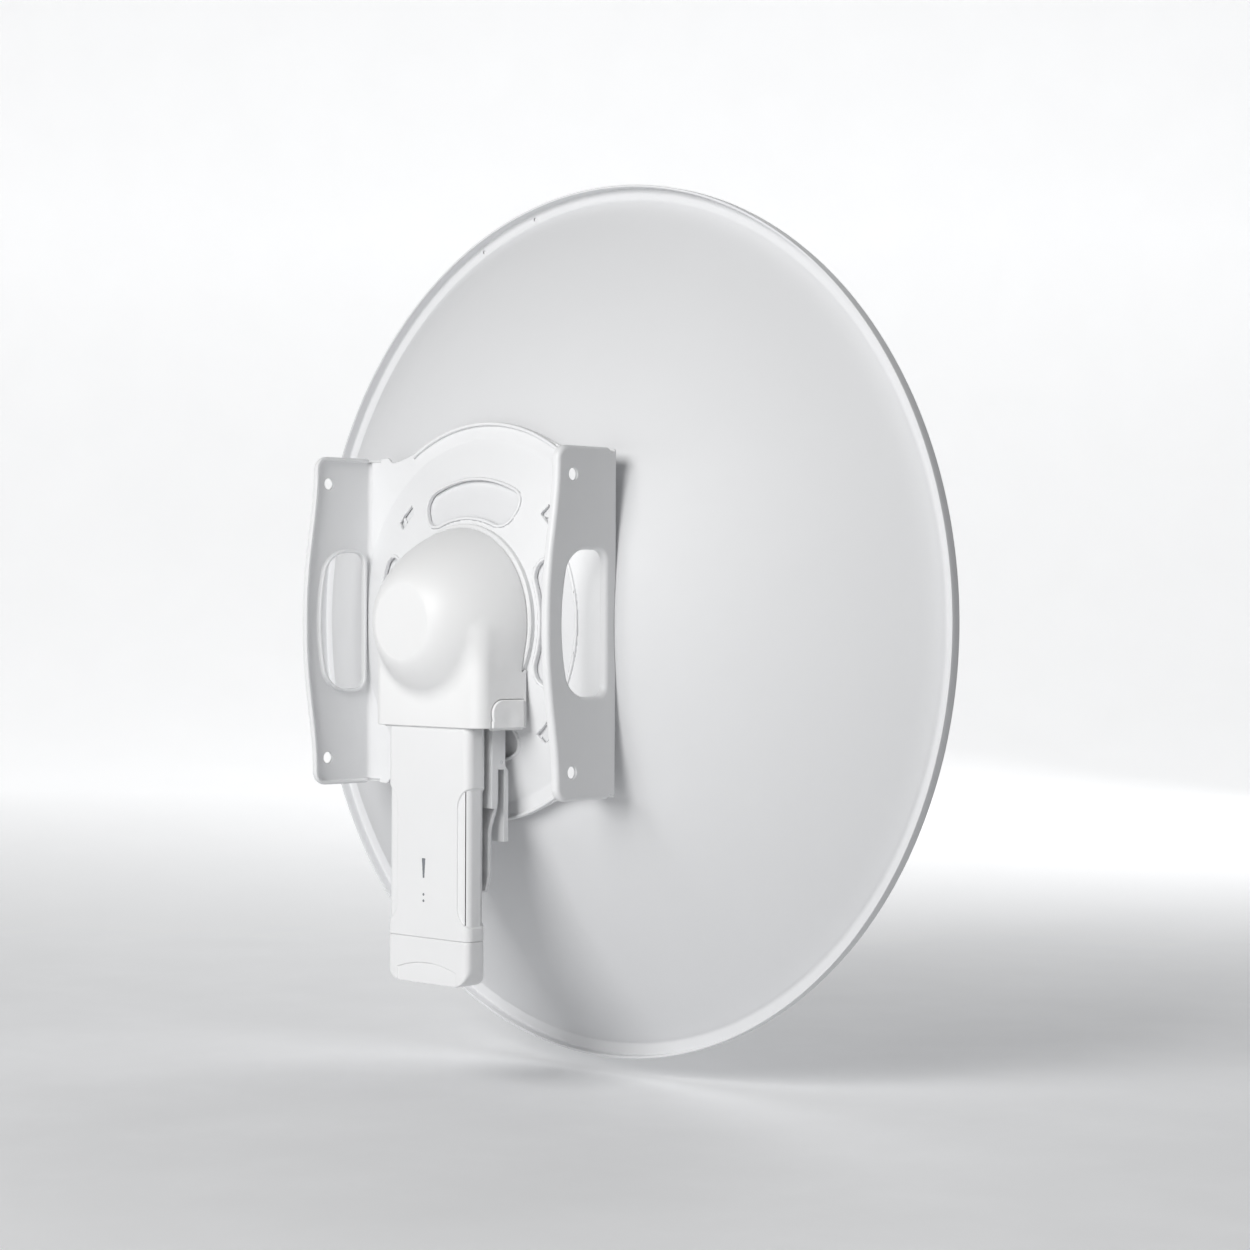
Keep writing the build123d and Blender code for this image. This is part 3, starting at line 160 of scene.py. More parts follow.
def net_faces(inside, ids):
    """Quads around each grid edge that crosses the surface."""
    faces = []
    for axis in range(3):
        b, c = (axis + 1) % 3, (axis + 2) % 3
        near = np.take(inside, range(0, inside.shape[axis] - 1), axis=axis)
        far = np.take(inside, range(1, inside.shape[axis]), axis=axis)
        edge = np.stack(np.nonzero(near != far), axis=1)
        keep = np.ones(len(edge), bool)
        for other in (b, c):
            keep &= (edge[:, other] > 0) & (edge[:, other] < inside.shape[other] - 1)
        edge = edge[keep]
        corners = []
        for db, dc in ((-1, -1), (0, -1), (0, 0), (-1, 0)):
            cell = edge.copy()
            cell[:, b] += db
            cell[:, c] += dc
            corners.append(ids[tuple(cell.T)])
        quad = np.stack(corners, axis=1)
        outward = inside[tuple(edge.T)]
        quad[~outward] = quad[~outward][:, ::-1]
        faces.append(quad)
    return np.concatenate(faces)


def new_mesh(name, points, quads):
    """Mesh object from points in millimetres."""
    mesh = bpy.data.meshes.new(name)
    mesh.vertices.add(len(points))
    mesh.vertices.foreach_set("co", (points * MM).astype(np.float32).ravel())
    mesh.loops.add(4 * len(quads))
    mesh.loops.foreach_set("vertex_index", quads.astype(np.int32).ravel())
    mesh.polygons.add(len(quads))
    mesh.polygons.foreach_set("loop_start", np.arange(0, 4 * len(quads), 4, dtype=np.int32))
    mesh.update(calc_edges=True)
    mesh.polygons.foreach_set("use_smooth", np.ones(len(quads), bool))
    obj = bpy.data.objects.new(name, mesh)
    bpy.context.scene.collection.objects.link(obj)
    return obj


def mesh_field(name, field, low, high, cell, steps=3, seams=(-np.inf, np.inf)):
    """Meshes the surface where the field is zero, with normals taken from the field.

    Seams are the x of the planes where this mesh ends and its neighbours carry on.
    """
    axes = [np.arange(a - 0.37 * cell, b + cell, cell) for a, b in zip(low, high)]
    x, y, z = axes[0][:, None, None], axes[1][None, :, None], axes[2][None, None, :]
    shape = tuple(len(a) for a in axes)
    values = np.broadcast_to(field(x, y, z), shape)
    inside = values < 0
    corner = np.zeros(tuple(n - 1 for n in shape), np.int8)
    for i in (0, 1):
        for j in (0, 1):
            for k in (0, 1):
                part = inside[i : shape[0] - 1 + i, j : shape[1] - 1 + j, k : shape[2] - 1 + k]
                corner += part
    active = (corner > 0) & (corner < 8)
    ids = np.full(active.shape, -1, np.int64)
    ids[active] = np.arange(active.sum())
    points = net_vertices(values, active, axes, cell)
    quads = net_faces(inside, ids)
    for _ in range(steps):
        slope = field_slope(field, points, 0.04)
        length = np.maximum((slope**2).sum(axis=1), 0.3)
        move = slope * (field(*points.T) / length)[:, None]
        points = points - np.clip(move, -0.5 * cell, 0.5 * cell)
        points[:, 0] = np.clip(points[:, 0], *seams)
    across = points[quads, 0]
    beyond = (across == seams[0]).all(axis=1) | (across == seams[1]).all(axis=1)
    quads = quads[~beyond]
    used = np.unique(quads)
    renumber = np.full(len(points), -1)
    renumber[used] = np.arange(len(used))
    points, quads = points[used], renumber[quads]
    normals = field_slope(field, points, 0.15)
    normals /= np.maximum(np.linalg.norm(normals, axis=1), 1e-6)[:, None]
    obj = new_mesh(name, points, quads)
    obj.data.normals_split_custom_set_from_vertices(normals.tolist())
    return obj


# ---------------------------------------------------------------- turned parts


def rounded(profile, radius, pieces=4, closed=True):
    """Polyline of (r, y) with each corner replaced by an arc-like curve."""
    points = [np.array(p, float) for p in profile]
    radii = radius if isinstance(radius, (list, tuple)) else [radius] * len(points)
    result = []
    for i, point in enumerate(points):
        if radii[i] == 0 or (not closed and i in (0, len(points) - 1)):
            result.append(point)
            continue
        before, after = points[i - 1] - point, points[(i + 1) % len(points)] - point
        reach = min(radii[i], 0.45 * np.linalg.norm(before), 0.45 * np.linalg.norm(after))
        start = point + before / np.linalg.norm(before) * reach
        end = point + after / np.linalg.norm(after) * reach
        for t in np.linspace(0, 1, pieces + 1):
            result.append((1 - t) ** 2 * start + 2 * t * (1 - t) * point + t**2 * end)
    return np.array(result)


def turn(name, profile, steps=180, sharp=35):
    """Ring mesh from a closed profile of (r, y) around the boresight."""
    count = len(profile)
    points = swept(np.arange(steps) * 2 * np.pi / steps, profile)
    i, j = np.meshgrid(np.arange(steps), np.arange(count), indexing="ij")
    i2, j2 = (i + 1) % steps, (j + 1) % count
    quads = np.stack([i * count + j, i * count + j2, i2 * count + j2, i2 * count + j], axis=2)
    obj = new_mesh(name, points, quads.reshape(-1, 4))
    tidy_mesh(obj, sharp)
    return obj


def tidy_mesh(obj, sharp):
    """Merges doubled points, turns the faces outward and marks the sharp edges."""
    work = bmesh.new()
    work.from_mesh(obj.data)
    bmesh.ops.remove_doubles(work, verts=work.verts, dist=1e-6)
    bmesh.ops.dissolve_degenerate(work, edges=work.edges, dist=1e-7)
    bmesh.ops.recalc_face_normals(work, faces=work.faces)
    work.to_mesh(obj.data)
    work.free()
    obj.data.polygons.foreach_set("use_smooth", np.ones(len(obj.data.polygons), bool))
    obj.data.set_sharp_from_angle(angle=math.radians(sharp))


def place(obj, body, slot, material, *nodes):
    """Rides on a body, takes a finish and stands for CAD nodes."""
    obj.data.materials.append(material)
    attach(obj, body)
    if nodes:
        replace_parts(obj, *nodes)


# ---------------------------------------------------------------- finishes


def finish(name, color, roughness, grain, **look):
    """Procedural finish. grain is (features per metre, bump depth in mm, strength).

    look may hold metallic, specular, coat, mottle (scale, amount), streak (direction scale),
    spread (change of roughness) and rub (a painted highlight: a lighter colour on
    convex edges).
    """
    material = bpy.data.materials.new(name)
    material.use_nodes = True
    tree = material.node_tree
    nodes, link = tree.nodes, tree.links.new
    shader = nodes["Principled BSDF"]
    shader.inputs["Metallic"].default_value = look.get("metallic", 0.0)
    shader.inputs["Specular IOR Level"].default_value = look.get("specular", 0.5)
    shader.inputs["Coat Weight"].default_value = look.get("coat", 0.0)
    shader.inputs["Coat Roughness"].default_value = look.get("coat_roughness", 0.2)
    place_in = nodes.new("ShaderNodeTexCoord")
    mapping = nodes.new("ShaderNodeMapping")
    mapping.inputs["Scale"].default_value = look.get("streak", (1, 1, 1))
    link(place_in.outputs["Object"], mapping.inputs["Vector"])

    def noise(scale, detail, vector=None):
        node = nodes.new("ShaderNodeTexNoise")
        node.inputs["Scale"].default_value = scale
        node.inputs["Detail"].default_value = detail
        link(vector or mapping.outputs["Vector"], node.inputs["Vector"])
        return node.outputs["Fac"]

    def remap(value, low, high):
        node = nodes.new("ShaderNodeMapRange")
        node.inputs["From Min"].default_value = 0.3
        node.inputs["From Max"].default_value = 0.7
        node.inputs["To Min"].default_value = low
        node.inputs["To Max"].default_value = high
        link(value, node.inputs["Value"])
        return node.outputs["Result"]

    def mix(factor, first, second):
        node = nodes.new("ShaderNodeMix")
        node.data_type = "RGBA"
        link(factor, node.inputs["Factor"])
        for value, socket in ((first, node.inputs[6]), (second, node.inputs[7])):
            if isinstance(value, tuple):
                socket.default_value = (*value, 1.0)
            else:
                link(value, socket)
        return node.outputs[2]

    scale, amount = look.get("mottle", (9.0, 0.02))
    darker = tuple(c * (1 - amount) for c in color)
    lighter = tuple(min(1.0, c * (1 + amount)) for c in color)
    shade = mix(remap(noise(scale, 4.0), 0.0, 1.0), darker, lighter)
    speck = tuple(c * (1 - look.get("speck", 0.02)) for c in color)
    fine = noise(grain[0], 3.0)
    shade = mix(remap(fine, 0.0, look.get("speck_share", 0.35)), shade, speck)
    # Painted highlight: convex edges, picked out by pointiness, are mixed towards a lighter white.
    if look.get("rub"):
        geometry = nodes.new("ShaderNodeNewGeometry")
        edge = nodes.new("ShaderNodeMapRange")
        edge.inputs["From Min"].default_value = 0.54
        edge.inputs["From Max"].default_value = 0.62
        edge.inputs["To Max"].default_value = look.get("rub_share", 0.5)
        link(geometry.outputs["Pointiness"], edge.inputs["Value"])
        shade = mix(edge.outputs["Result"], shade, look["rub"])
    link(shade, shader.inputs["Base Color"])
    spread = look.get("spread", 0.05)
    rough = remap(noise(look.get("rough_scale", 60.0), 5.0), roughness - spread, roughness + spread)
    link(rough, shader.inputs["Roughness"])
    bump = nodes.new("ShaderNodeBump")
    bump.inputs["Distance"].default_value = grain[1] * MM
    bump.inputs["Strength"].default_value = grain[2]
    link(fine, bump.inputs["Height"])
    link(bump.outputs["Normal"], shader.inputs["Normal"])
    return material


def board_finish():
    """Green solder mask over a pattern of straight copper runs, with a fine weave below."""
    material = finish("circuit_board_mask", (0.02, 0.12, 0.05), 0.35, (1800.0, 0.03, 0.5))
    tree = material.node_tree
    nodes, link = tree.nodes, tree.links.new
    shader = nodes["Principled BSDF"]
    base = shader.inputs["Base Color"].links[0].from_socket
    mapping = next(n for n in nodes if n.bl_idname == "ShaderNodeMapping")
    runs = nodes.new("ShaderNodeTexBrick")
    runs.inputs["Scale"].default_value = 160.0
    runs.inputs["Mortar Size"].default_value = 0.03
    runs.inputs["Color1"].default_value = (0, 0, 0, 1)
    runs.inputs["Color2"].default_value = (0, 0, 0, 1)
    runs.inputs["Mortar"].default_value = (1, 1, 1, 1)
    turned = nodes.new("ShaderNodeMapping")
    turned.inputs["Rotation"].default_value = (math.pi / 2, 0, 0)
    link(mapping.outputs["Vector"], turned.inputs["Vector"])
    link(turned.outputs["Vector"], runs.inputs["Vector"])
    mix = nodes.new("ShaderNodeMix")
    mix.data_type = "RGBA"
    link(runs.outputs["Color"], mix.inputs["Factor"])
    link(base, mix.inputs[6])
    mix.inputs[7].default_value = (0.05, 0.22, 0.08, 1)
    link(mix.outputs[2], shader.inputs["Base Color"])
    return material


# Lighter white painted onto convex edges as a highlight.
EDGE_HIGHLIGHT_WHITE = (0.84, 0.845, 0.85)
FINISH = {
    "bracket_paint": finish(
        "powder_coat_bracket", (0.80, 0.805, 0.815), 0.42, (1100.0, 0.05, 0.35),
        mottle=(14.0, 0.012), speck=0.015, rub=EDGE_HIGHLIGHT_WHITE, spread=0.05,
    ),
    # Painted shade: the reflector carries the bracket's white powder coat in a darker tone, so the
    # whole dish reads as lying in shade.
    "reflector_paint": finish(
        "powder_coat_reflector", (0.735, 0.74, 0.752), 0.55, (900.0, 0.05, 0.3),
        mottle=(6.0, 0.012), speck=0.012, rub=EDGE_HIGHLIGHT_WHITE, spread=0.04, specular=0.3,
    ),
    "shroud_plastic": finish(
        "asa_shroud", (0.83, 0.832, 0.835), 0.46, (2400.0, 0.035, 0.4), mottle=(18.0, 0.01),
        speck=0.012, spread=0.04,
    ),
    "radio_plastic": finish(
        "asa_radio", (0.82, 0.823, 0.83), 0.44, (2600.0, 0.03, 0.4), mottle=(22.0, 0.01),
        speck=0.012, spread=0.04,
    ),
    "feed_plastic": finish(
        "feed_moulding", (0.74, 0.745, 0.765), 0.36, (1700.0, 0.03, 0.3), mottle=(25.0, 0.015),
        speck=0.015, spread=0.05,
    ),
    "white_plastic": finish(
        "white_moulding", (0.79, 0.795, 0.80), 0.40, (2200.0, 0.03, 0.35), mottle=(20.0, 0.012),
        speck=0.012, spread=0.05,
    ),
    "hanger_plastic": finish(
        "hanger_moulding", (0.76, 0.765, 0.775), 0.48, (1900.0, 0.04, 0.45), mottle=(20.0, 0.02),
        speck=0.02, spread=0.06,
    ),
    "dark_plastic": finish(
        "dark_moulding", (0.030, 0.031, 0.034), 0.45, (1500.0, 0.04, 0.5), mottle=(40.0, 0.2),
        speck=0.2, spread=0.08,
    ),
    "black_rubber": finish(
        "black_rubber", (0.018, 0.018, 0.019), 0.72, (1300.0, 0.06, 0.7), mottle=(60.0, 0.25),
        speck=0.25, spread=0.08, specular=0.35,
    ),
    "grey_rubber": finish(
        "grey_rubber", (0.16, 0.16, 0.165), 0.75, (1200.0, 0.06, 0.7), mottle=(60.0, 0.12),
        speck=0.15, spread=0.08, specular=0.35,
    ),
    "zinc_steel": finish(
        "zinc_steel", (0.62, 0.63, 0.65), 0.32, (700.0, 0.02, 0.3), mottle=(240.0, 0.12),
        speck=0.12, spread=0.1, metallic=1.0, rough_scale=300.0,
    ),
    "cast_alloy": finish(
        "cast_alloy", (0.50, 0.50, 0.51), 0.52, (1000.0, 0.08, 0.8), mottle=(60.0, 0.1),
        speck=0.2, spread=0.1, metallic=0.9,
    ),
    "gold_brass": finish(
        "gold_brass", (0.78, 0.55, 0.22), 0.26, (1800.0, 0.01, 0.3), mottle=(120.0, 0.08),
        speck=0.06, spread=0.08, metallic=1.0,
    ),
    "cable_jacket": finish(
        "cable_jacket", (0.022, 0.022, 0.024), 0.5, (2500.0, 0.03, 0.5), mottle=(90.0, 0.2),
        speck=0.2, spread=0.1,
    ),
    "circuit_board": board_finish(),
    "tin_shield": finish(
        "tin_shield", (0.66, 0.66, 0.64), 0.30, (500.0, 0.02, 0.3), mottle=(90.0, 0.08),
        speck=0.08, spread=0.12, metallic=1.0, streak=(1, 1, 8),
    ),
    "jack_metal": finish(
        "jack_metal", (0.60, 0.60, 0.60), 0.28, (600.0, 0.02, 0.3), mottle=(120.0, 0.1),
        speck=0.1, spread=0.12, metallic=1.0, streak=(8, 1, 1),
    ),
    "light_pipe": finish(
        "light_pipe", (0.20, 0.21, 0.23), 0.30, (2200.0, 0.01, 0.2), mottle=(300.0, 0.06),
        speck=0.04, spread=0.05, coat=0.3,
    ),
}

node_slot = {part["node"]: part["material_slot"] for part in frame["record"]["subparts"]}
for node, obj in frame["nodes"].items():
    obj.data.materials.clear()
    obj.data.materials.append(FINISH[node_slot[node]])


# ---------------------------------------------------------------- shared shape of the dish

FOCAL = 162.8
VERTEX_Y = -18.0
DISH_SHEET = 1.8
PLATE_SHEET = 2.5
PLATE_GAP = 0.6


def dish_front(r):
    """Front surface of the paraboloid."""
    return VERTEX_Y - r**2 / (4 * FOCAL)


def plate_back(r):
    """Rear face of the bracket's plate where it follows the dish."""
    return dish_front(r) + DISH_SHEET + PLATE_GAP + PLATE_SHEET


def from_boresight(x, z):
    """Radius and angle, in degrees from +X towards +Z."""
    return np.hypot(x, z), np.degrees(np.arctan2(z, x))


# ---------------------------------------------------------------- reflector

DISH_HOLE_R = 32.0
BOWL_R = 311.0
RIM_FRONT_Y = -170.0
LIP_BACK_Y = -160.0
SLOTS = [(50.5 + 90 * k, 60.1 + 90 * k) for k in range(4)]
SLOT_R = (101.0, 109.0)
RIM_HOLES = (64.6, 75.4)
RIM_HOLE_R = 1.5
RIM_HOLE_AT_R = 319.0
RIM_HOLE_FRAME = 2.5  # reach of the rebuilt faces on each side of a rim hole
RIM_HOLE_SWEEP = 0.45  # the same reach in degrees
HOLE_SIDES = 16


def reflector_section():
    """Closed section of the dish as (r, y), with marks for the stations beside the cut-outs."""
    bowl = np.unique(np.concatenate([np.linspace(DISH_HOLE_R, BOWL_R, 34), SLOT_R]))
    front = [(r, dish_front(r)) for r in bowl]
    back = [(r, dish_front(r) + DISH_SHEET) for r in bowl[::-1]]
    edge = [
        (311.6, dish_front(311.6) - 0.8), (312.4, -169.2), (313.5, -169.8), (314.6, RIM_FRONT_Y),
        (RIM_HOLE_AT_R - RIM_HOLE_FRAME, RIM_FRONT_Y),
        (RIM_HOLE_AT_R + RIM_HOLE_FRAME, RIM_FRONT_Y),
    ]
    edge += [
        (322 + 3 * math.sin(a), -167 - 3 * math.cos(a)) for a in np.linspace(0.05, math.pi / 2, 8)
    ]
    lip = [(325, -164), (325, -160.7), (324.8, -160.2), (324.1, LIP_BACK_Y), (323.4, -160.2)]
    inner = [(323.2, -160.7), (323.2, -164)]
    inner += [
        (321.9 + 1.3 * math.cos(a), -166.9 - 1.3 * math.sin(a))
        for a in np.linspace(0.1, math.pi / 2, 5)
    ]
    inner += [
        (RIM_HOLE_AT_R + RIM_HOLE_FRAME, -168.2), (RIM_HOLE_AT_R - RIM_HOLE_FRAME, -168.2),
        (315.4, -168.1), (314.2, -167.7), (313.2, -166.6),
        (312.4, dish_front(312.4) + DISH_SHEET + 0.35),
    ]
    return np.array(front + edge + lip + inner + back)


def block_of(section, low, high):
    """Indices of the section points at two radii, on the front and on the back."""
    found = []
    for r in (low, high):
        hits = np.nonzero(np.abs(section[:, 0] - r) < 1e-6)[0]
        found.append((hits[0], hits[-1]))
    (front_low, back_low), (front_high, back_high) = found
    return front_low, front_high, back_high, back_low


def build_reflector():
    """Dish turned in steps that meet the edges of its slots and rim holes, which are then cut."""
    section = reflector_section()
    count = len(section)
    marks = [a for slot in SLOTS for a in slot]
    marks += [a + d * RIM_HOLE_SWEEP for a in RIM_HOLES for d in (-1, -1 / 3, 1 / 3, 1)]
    even = np.arange(0, 360, 0.75)
    angle = np.array([a for a in even if min(abs(a - m) for m in marks) > 0.12])
    angle = np.sort(np.concatenate([angle, marks]))
    steps = len(angle)
    points = swept(np.radians(angle), section)
    solid = np.ones((steps, count), bool)
    extra = []

    def column(value):
        return int(np.argmin(np.abs(angle - value)))

    f0, f1, b1, b0 = block_of(section, *SLOT_R)
    for start, end in SLOTS:
        i0, i1 = column(start), column(end)
        solid[i0:i1, f0:f1] = False
        solid[i0:i1, b1:b0] = False
        for i in range(i0, i1):
            extra.append((i * count + f0, i * count + b0, (i + 1) * count + b0, (i + 1) * count + f0))
            extra.append((i * count + f1, (i + 1) * count + f1, (i + 1) * count + b1, i * count + b1))
        for i in (i0, i1):
            for f, b in zip(range(f0, f1), range(b0, b1, -1)):
                extra.append((i * count + f, i * count + f + 1, i * count + b - 1, i * count + b))
    h0, h1, g1, g0 = block_of(
        section, RIM_HOLE_AT_R - RIM_HOLE_FRAME, RIM_HOLE_AT_R + RIM_HOLE_FRAME
    )
    rims = []
    for middle in RIM_HOLES:
        i0, i1 = column(middle - RIM_HOLE_SWEEP), column(middle + RIM_HOLE_SWEEP)
        solid[i0:i1, h0:h1] = False
        solid[i0:i1, g1:g0] = False
        for low, high in ((h0, h1), (g0, g1)):
            loop = [i * count + low for i in range(i0, i1)] + [i1 * count + low]
            loop += [i * count + high for i in range(i1, i0, -1)] + [i0 * count + high]
            rims.append((middle, loop))
    i, j = np.nonzero(solid)
    i2, j2 = (i + 1) % steps, (j + 1) % count
    quads = np.stack([i * count + j, i * count + j2, i2 * count + j2, i2 * count + j], axis=1)
    quads = np.concatenate([quads, np.array(extra)])
    obj = new_mesh("reflector_dish", points, quads)
    work = bmesh.new()
    work.from_mesh(obj.data)
    grid_verts = list(work.verts)
    circles = []
    for middle, loop in rims:
        a = math.radians(middle)
        centre = Vector((math.cos(a), 0, math.sin(a))) * RIM_HOLE_AT_R
        height = points[loop[0]][1]
        out, side = Vector((math.cos(a), 0, math.sin(a))), Vector((-math.sin(a), 0, math.cos(a)))
        ring = []
        for t in np.arange(HOLE_SIDES) * 2 * np.pi / HOLE_SIDES:
            p = centre + out * (RIM_HOLE_R * math.cos(t)) + side * (RIM_HOLE_R * math.sin(t))
            ring.append(work.verts.new(Vector((p.x, height, p.z)) * MM))
        circles.append(ring)
        outer = [grid_verts[n] for n in loop]

        def heading(vert):
            v = vert.co / MM - centre
            return math.atan2(v.dot(side), v.dot(out)) % (2 * math.pi)

        bridge(work, outer, ring, heading)
    for front, back in zip(circles[0::2], circles[1::2]):
        for k in range(HOLE_SIDES):
            after = (k + 1) % HOLE_SIDES
            work.faces.new((front[k], front[after], back[after], back[k]))
    work.to_mesh(obj.data)
    work.free()
    tidy_mesh(obj, 32)
    return obj


def bridge(work, outer, inner, heading):
    """Fills the space between a loop and a smaller loop inside it with triangles."""
    outer = sorted(outer, key=heading)
    inner = sorted(inner, key=heading)
    a = b = 0
    while a < len(outer) or b < len(inner):
        this, that = outer[a % len(outer)], inner[b % len(inner)]
        if next_heading(outer, a, heading) <= next_heading(inner, b, heading):
            a += 1
            work.faces.new((this, outer[a % len(outer)], that))
        else:
            b += 1
            work.faces.new((this, inner[b % len(inner)], that))


def next_heading(loop, index, heading):
    """Heading of the vertex after this one, which grows past a full turn at the end."""
    if index >= len(loop):
        return math.inf
    if index == len(loop) - 1:
        return heading(loop[0]) + 2 * math.pi
    return heading(loop[index + 1])


place(build_reflector(), "reflector", "reflector_paint", FINISH["reflector_paint"], "reflector")


# ---------------------------------------------------------------- mounting bracket

FLANGE_X = 127.0
FLANGE_HALF_H = 120.4
FLANGE_FOOT_W = 23.0
FLANGE_END_Y = 14.6
FLANGE_BOW = 10.0
FLANGE_BOW_HALF_H = 110.4
FLANGE_CORNER_R = 10.0
LIP = 6.0
BEND_R = 3.2
BOLT_Z = 100.8
BOLT_R = 4.2
RELIEF_R = 3.0
HANDLE_ROOT_Y = -32.0
HANDLE_MID_Y = 9.0
HANDLE_HALF_H = 50.0
HANDLE_ROOT_R = 8.0
HANDLE_BOW_R = 14.0
HANDLE_ARC_R = 160.25
PLATE_R = 143.0
PLATE_FLAT_Y = -39.4
PLATE_HOLE_R = 45.0
NECK_HALF_W = 104.0
NECK_HALF_H = 116.5
STEP_R = (121.0, 130.5)
HEM_HALF_W = 75.0
WINDOW_MID_R = 88.0
WINDOW_HALF_R = 13.0
WINDOW_HALF_ANGLE = 30.0
WINDOW_CORNER_R = 11.0
WINDOW_LIP = 2.2
WINDOW_LIP_H = 1.2
HOOK_R = (101.7, 108.3)
HOOK_ANGLES = (42.9, 52.3)
STEM_ANGLES = (42.9, 44.5)
LANCED_ANGLES = (41.3, 50.7)
HOOK_GAP = 0.4
HOOK_SHEET = 2.2
PLATE_RADII = np.linspace(30, 190, 641)
PLATE_STEP = np.where(
    PLATE_RADII < STEP_R[0],
    plate_back(PLATE_RADII),
    np.interp(PLATE_RADII, STEP_R, (plate_back(STEP_R[0]), PLATE_FLAT_Y)),
)
SOFTEN = np.hanning(15) / np.hanning(15).sum()
PLATE_PADDED = np.pad(PLATE_STEP, 7, mode="reflect", reflect_type="odd")
PLATE_Y = np.convolve(PLATE_PADDED, SOFTEN, mode="valid")
PLATE_COS = 1 / np.hypot(1, np.gradient(PLATE_Y, PLATE_RADII))


def window_field(r, x, z):
    """Field of the four curved windows of the plate, across the sheet."""
    across = np.degrees(np.arctan2(np.minimum(abs(x), abs(z)), np.maximum(abs(x), abs(z))))
    a = np.abs(r - WINDOW_MID_R) - WINDOW_HALF_R
    b = r * np.sin(np.radians(across - WINDOW_HALF_ANGLE))
    return both(a, b, WINDOW_CORNER_R)


def sector(r, angle, low, high, start, end):
    """Field of a ring sector that repeats every quarter turn."""
    turned = np.mod(angle, 90.0)
    half = (end - start) / 2
    side = r * np.sin(np.radians(np.abs(turned - start - half) - half))
    return np.maximum(slab(r, low, high), side)


def handle_field(y, z):
    """Field of a flange's grip window, seen from the side."""
    straight = both(HANDLE_ROOT_Y - y, np.abs(z) - HANDLE_HALF_H, HANDLE_ROOT_R)
    bow = np.hypot(y + HANDLE_ARC_R - HANDLE_MID_Y, z) - HANDLE_ARC_R
    return both(straight, bow, HANDLE_BOW_R)


def plate_field(x, y, z, r, angle, depth):
    """Pressed plate with its windows, the lanced openings and the hemmed arcs."""
    ax, az = np.abs(x), np.abs(z)
    disc = np.maximum(r - PLATE_R, ax - FLANGE_X)
    neck = blend(disc, rect(ax, az, NECK_HALF_W, NECK_HALF_H), 16.0)
    foot_x = FLANGE_X - FLANGE_FOOT_W / 2
    outline = blend(neck, rect(ax - foot_x, az, FLANGE_FOOT_W / 2, FLANGE_HALF_H, 1.5), 7.0)
    outline = np.minimum(outline, rect(ax - NECK_HALF_W, az, 8.0, NECK_HALF_H))
    outline = np.maximum(outline, ax - FLANGE_X)
    windows = window_field(r, x, z)
    sheet = both(slab(depth, -PLATE_SHEET, 0), outline, 0.7)
    sheet = both(sheet, -np.minimum(windows, r - PLATE_HOLE_R), 0.6)
    sheet = both(sheet, -sector(r, angle, *SLOT_R, *LANCED_ANGLES), 0.3)
    collar = both(slab(windows, 0.0, WINDOW_LIP), slab(depth, -PLATE_SHEET, WINDOW_LIP_H), 0.7)
    sheet = np.minimum(sheet, collar)
    hem_depth = slab(y, PLATE_FLAT_Y - 1.5, PLATE_FLAT_Y + 2.5)
    hem = both(slab(r, PLATE_R - PLATE_SHEET, PLATE_R), hem_depth, 0.8)
    return np.minimum(sheet, np.maximum(hem, ax - HEM_HALF_W))


def hook_field(y, r, angle, back):
    """Hooks of the twist lock, each a tab in front of the dish on a stem through its slot."""
    front = dish_front(r)
    tab_depth = slab(y, front - HOOK_GAP - HOOK_SHEET, front - HOOK_GAP)
    tab = both(sector(r, angle, *HOOK_R, *HOOK_ANGLES), tab_depth, 0.4)
    stem_depth = slab(y, front - HOOK_GAP - HOOK_SHEET, back - 1.2)
    return np.minimum(tab, np.maximum(sector(r, angle, *HOOK_R, *STEM_ANGLES), stem_depth))


def flange_field(y, z, inward, depth):
    """Flange pressed as a shallow pan, its hollow facing the middle of the bracket."""
    az = np.abs(z)
    swell = 0.5 + 0.5 * np.cos(np.pi * np.clip(az / FLANGE_BOW_HALF_H, 0, 1) ** 1.2)
    end = y - FLANGE_END_Y - FLANGE_BOW * swell
    shape = np.maximum(both(end, az - FLANGE_HALF_H, FLANGE_CORNER_R), -handle_field(y, z))
    outer = both(both(shape, -inward, BEND_R), -(depth + PLATE_SHEET), 1.5)
    hollow = np.maximum(np.maximum(shape + PLATE_SHEET, PLATE_FLAT_Y - y), -depth)
    hollow = both(hollow, PLATE_SHEET - inward, 0.9)
    return both(np.maximum(outer, -hollow), inward - LIP, 0.8)


def bend_field(z, inward, depth):
    """Metal in the inner bend between the plate and a flange."""
    bend = np.maximum(3.0 - np.hypot(inward - 5.5, depth - 3.0), np.maximum(inward, depth) - 5.5)
    bend = np.maximum(np.maximum(bend, inward - 5.5), np.maximum(depth - 3.0, -depth - 1.0))
    return np.maximum(np.maximum(bend, 1.0 - inward), np.abs(z) - FLANGE_HALF_H + 1.0)


def bracket_field(x, y, z):
    """Whole bracket, with the clamp bolt holes and the reliefs at the ends of the bends."""
    r, angle = from_boresight(x, z)
    ax, az = np.abs(x), np.abs(z)
    back = np.interp(r, PLATE_RADII, PLATE_Y)
    depth = (y - back) * np.interp(r, PLATE_RADII, PLATE_COS)
    inward = FLANGE_X - ax
    metal = plate_field(x, y, z, r, angle, depth)
    metal = np.minimum(metal, hook_field(y, r, angle, back))
    metal = np.minimum(metal, flange_field(y, z, inward, depth))
    metal = np.minimum(metal, bend_field(z, inward, depth))
    bolt = np.hypot(y, az - BOLT_Z) - BOLT_R
    relief = np.hypot(y - PLATE_FLAT_Y - 1.0, az - FLANGE_HALF_H) - RELIEF_R
    holes = np.where(ax > 112.0, np.minimum(bolt, relief), 50.0)
    return both(metal, -holes, 0.4)


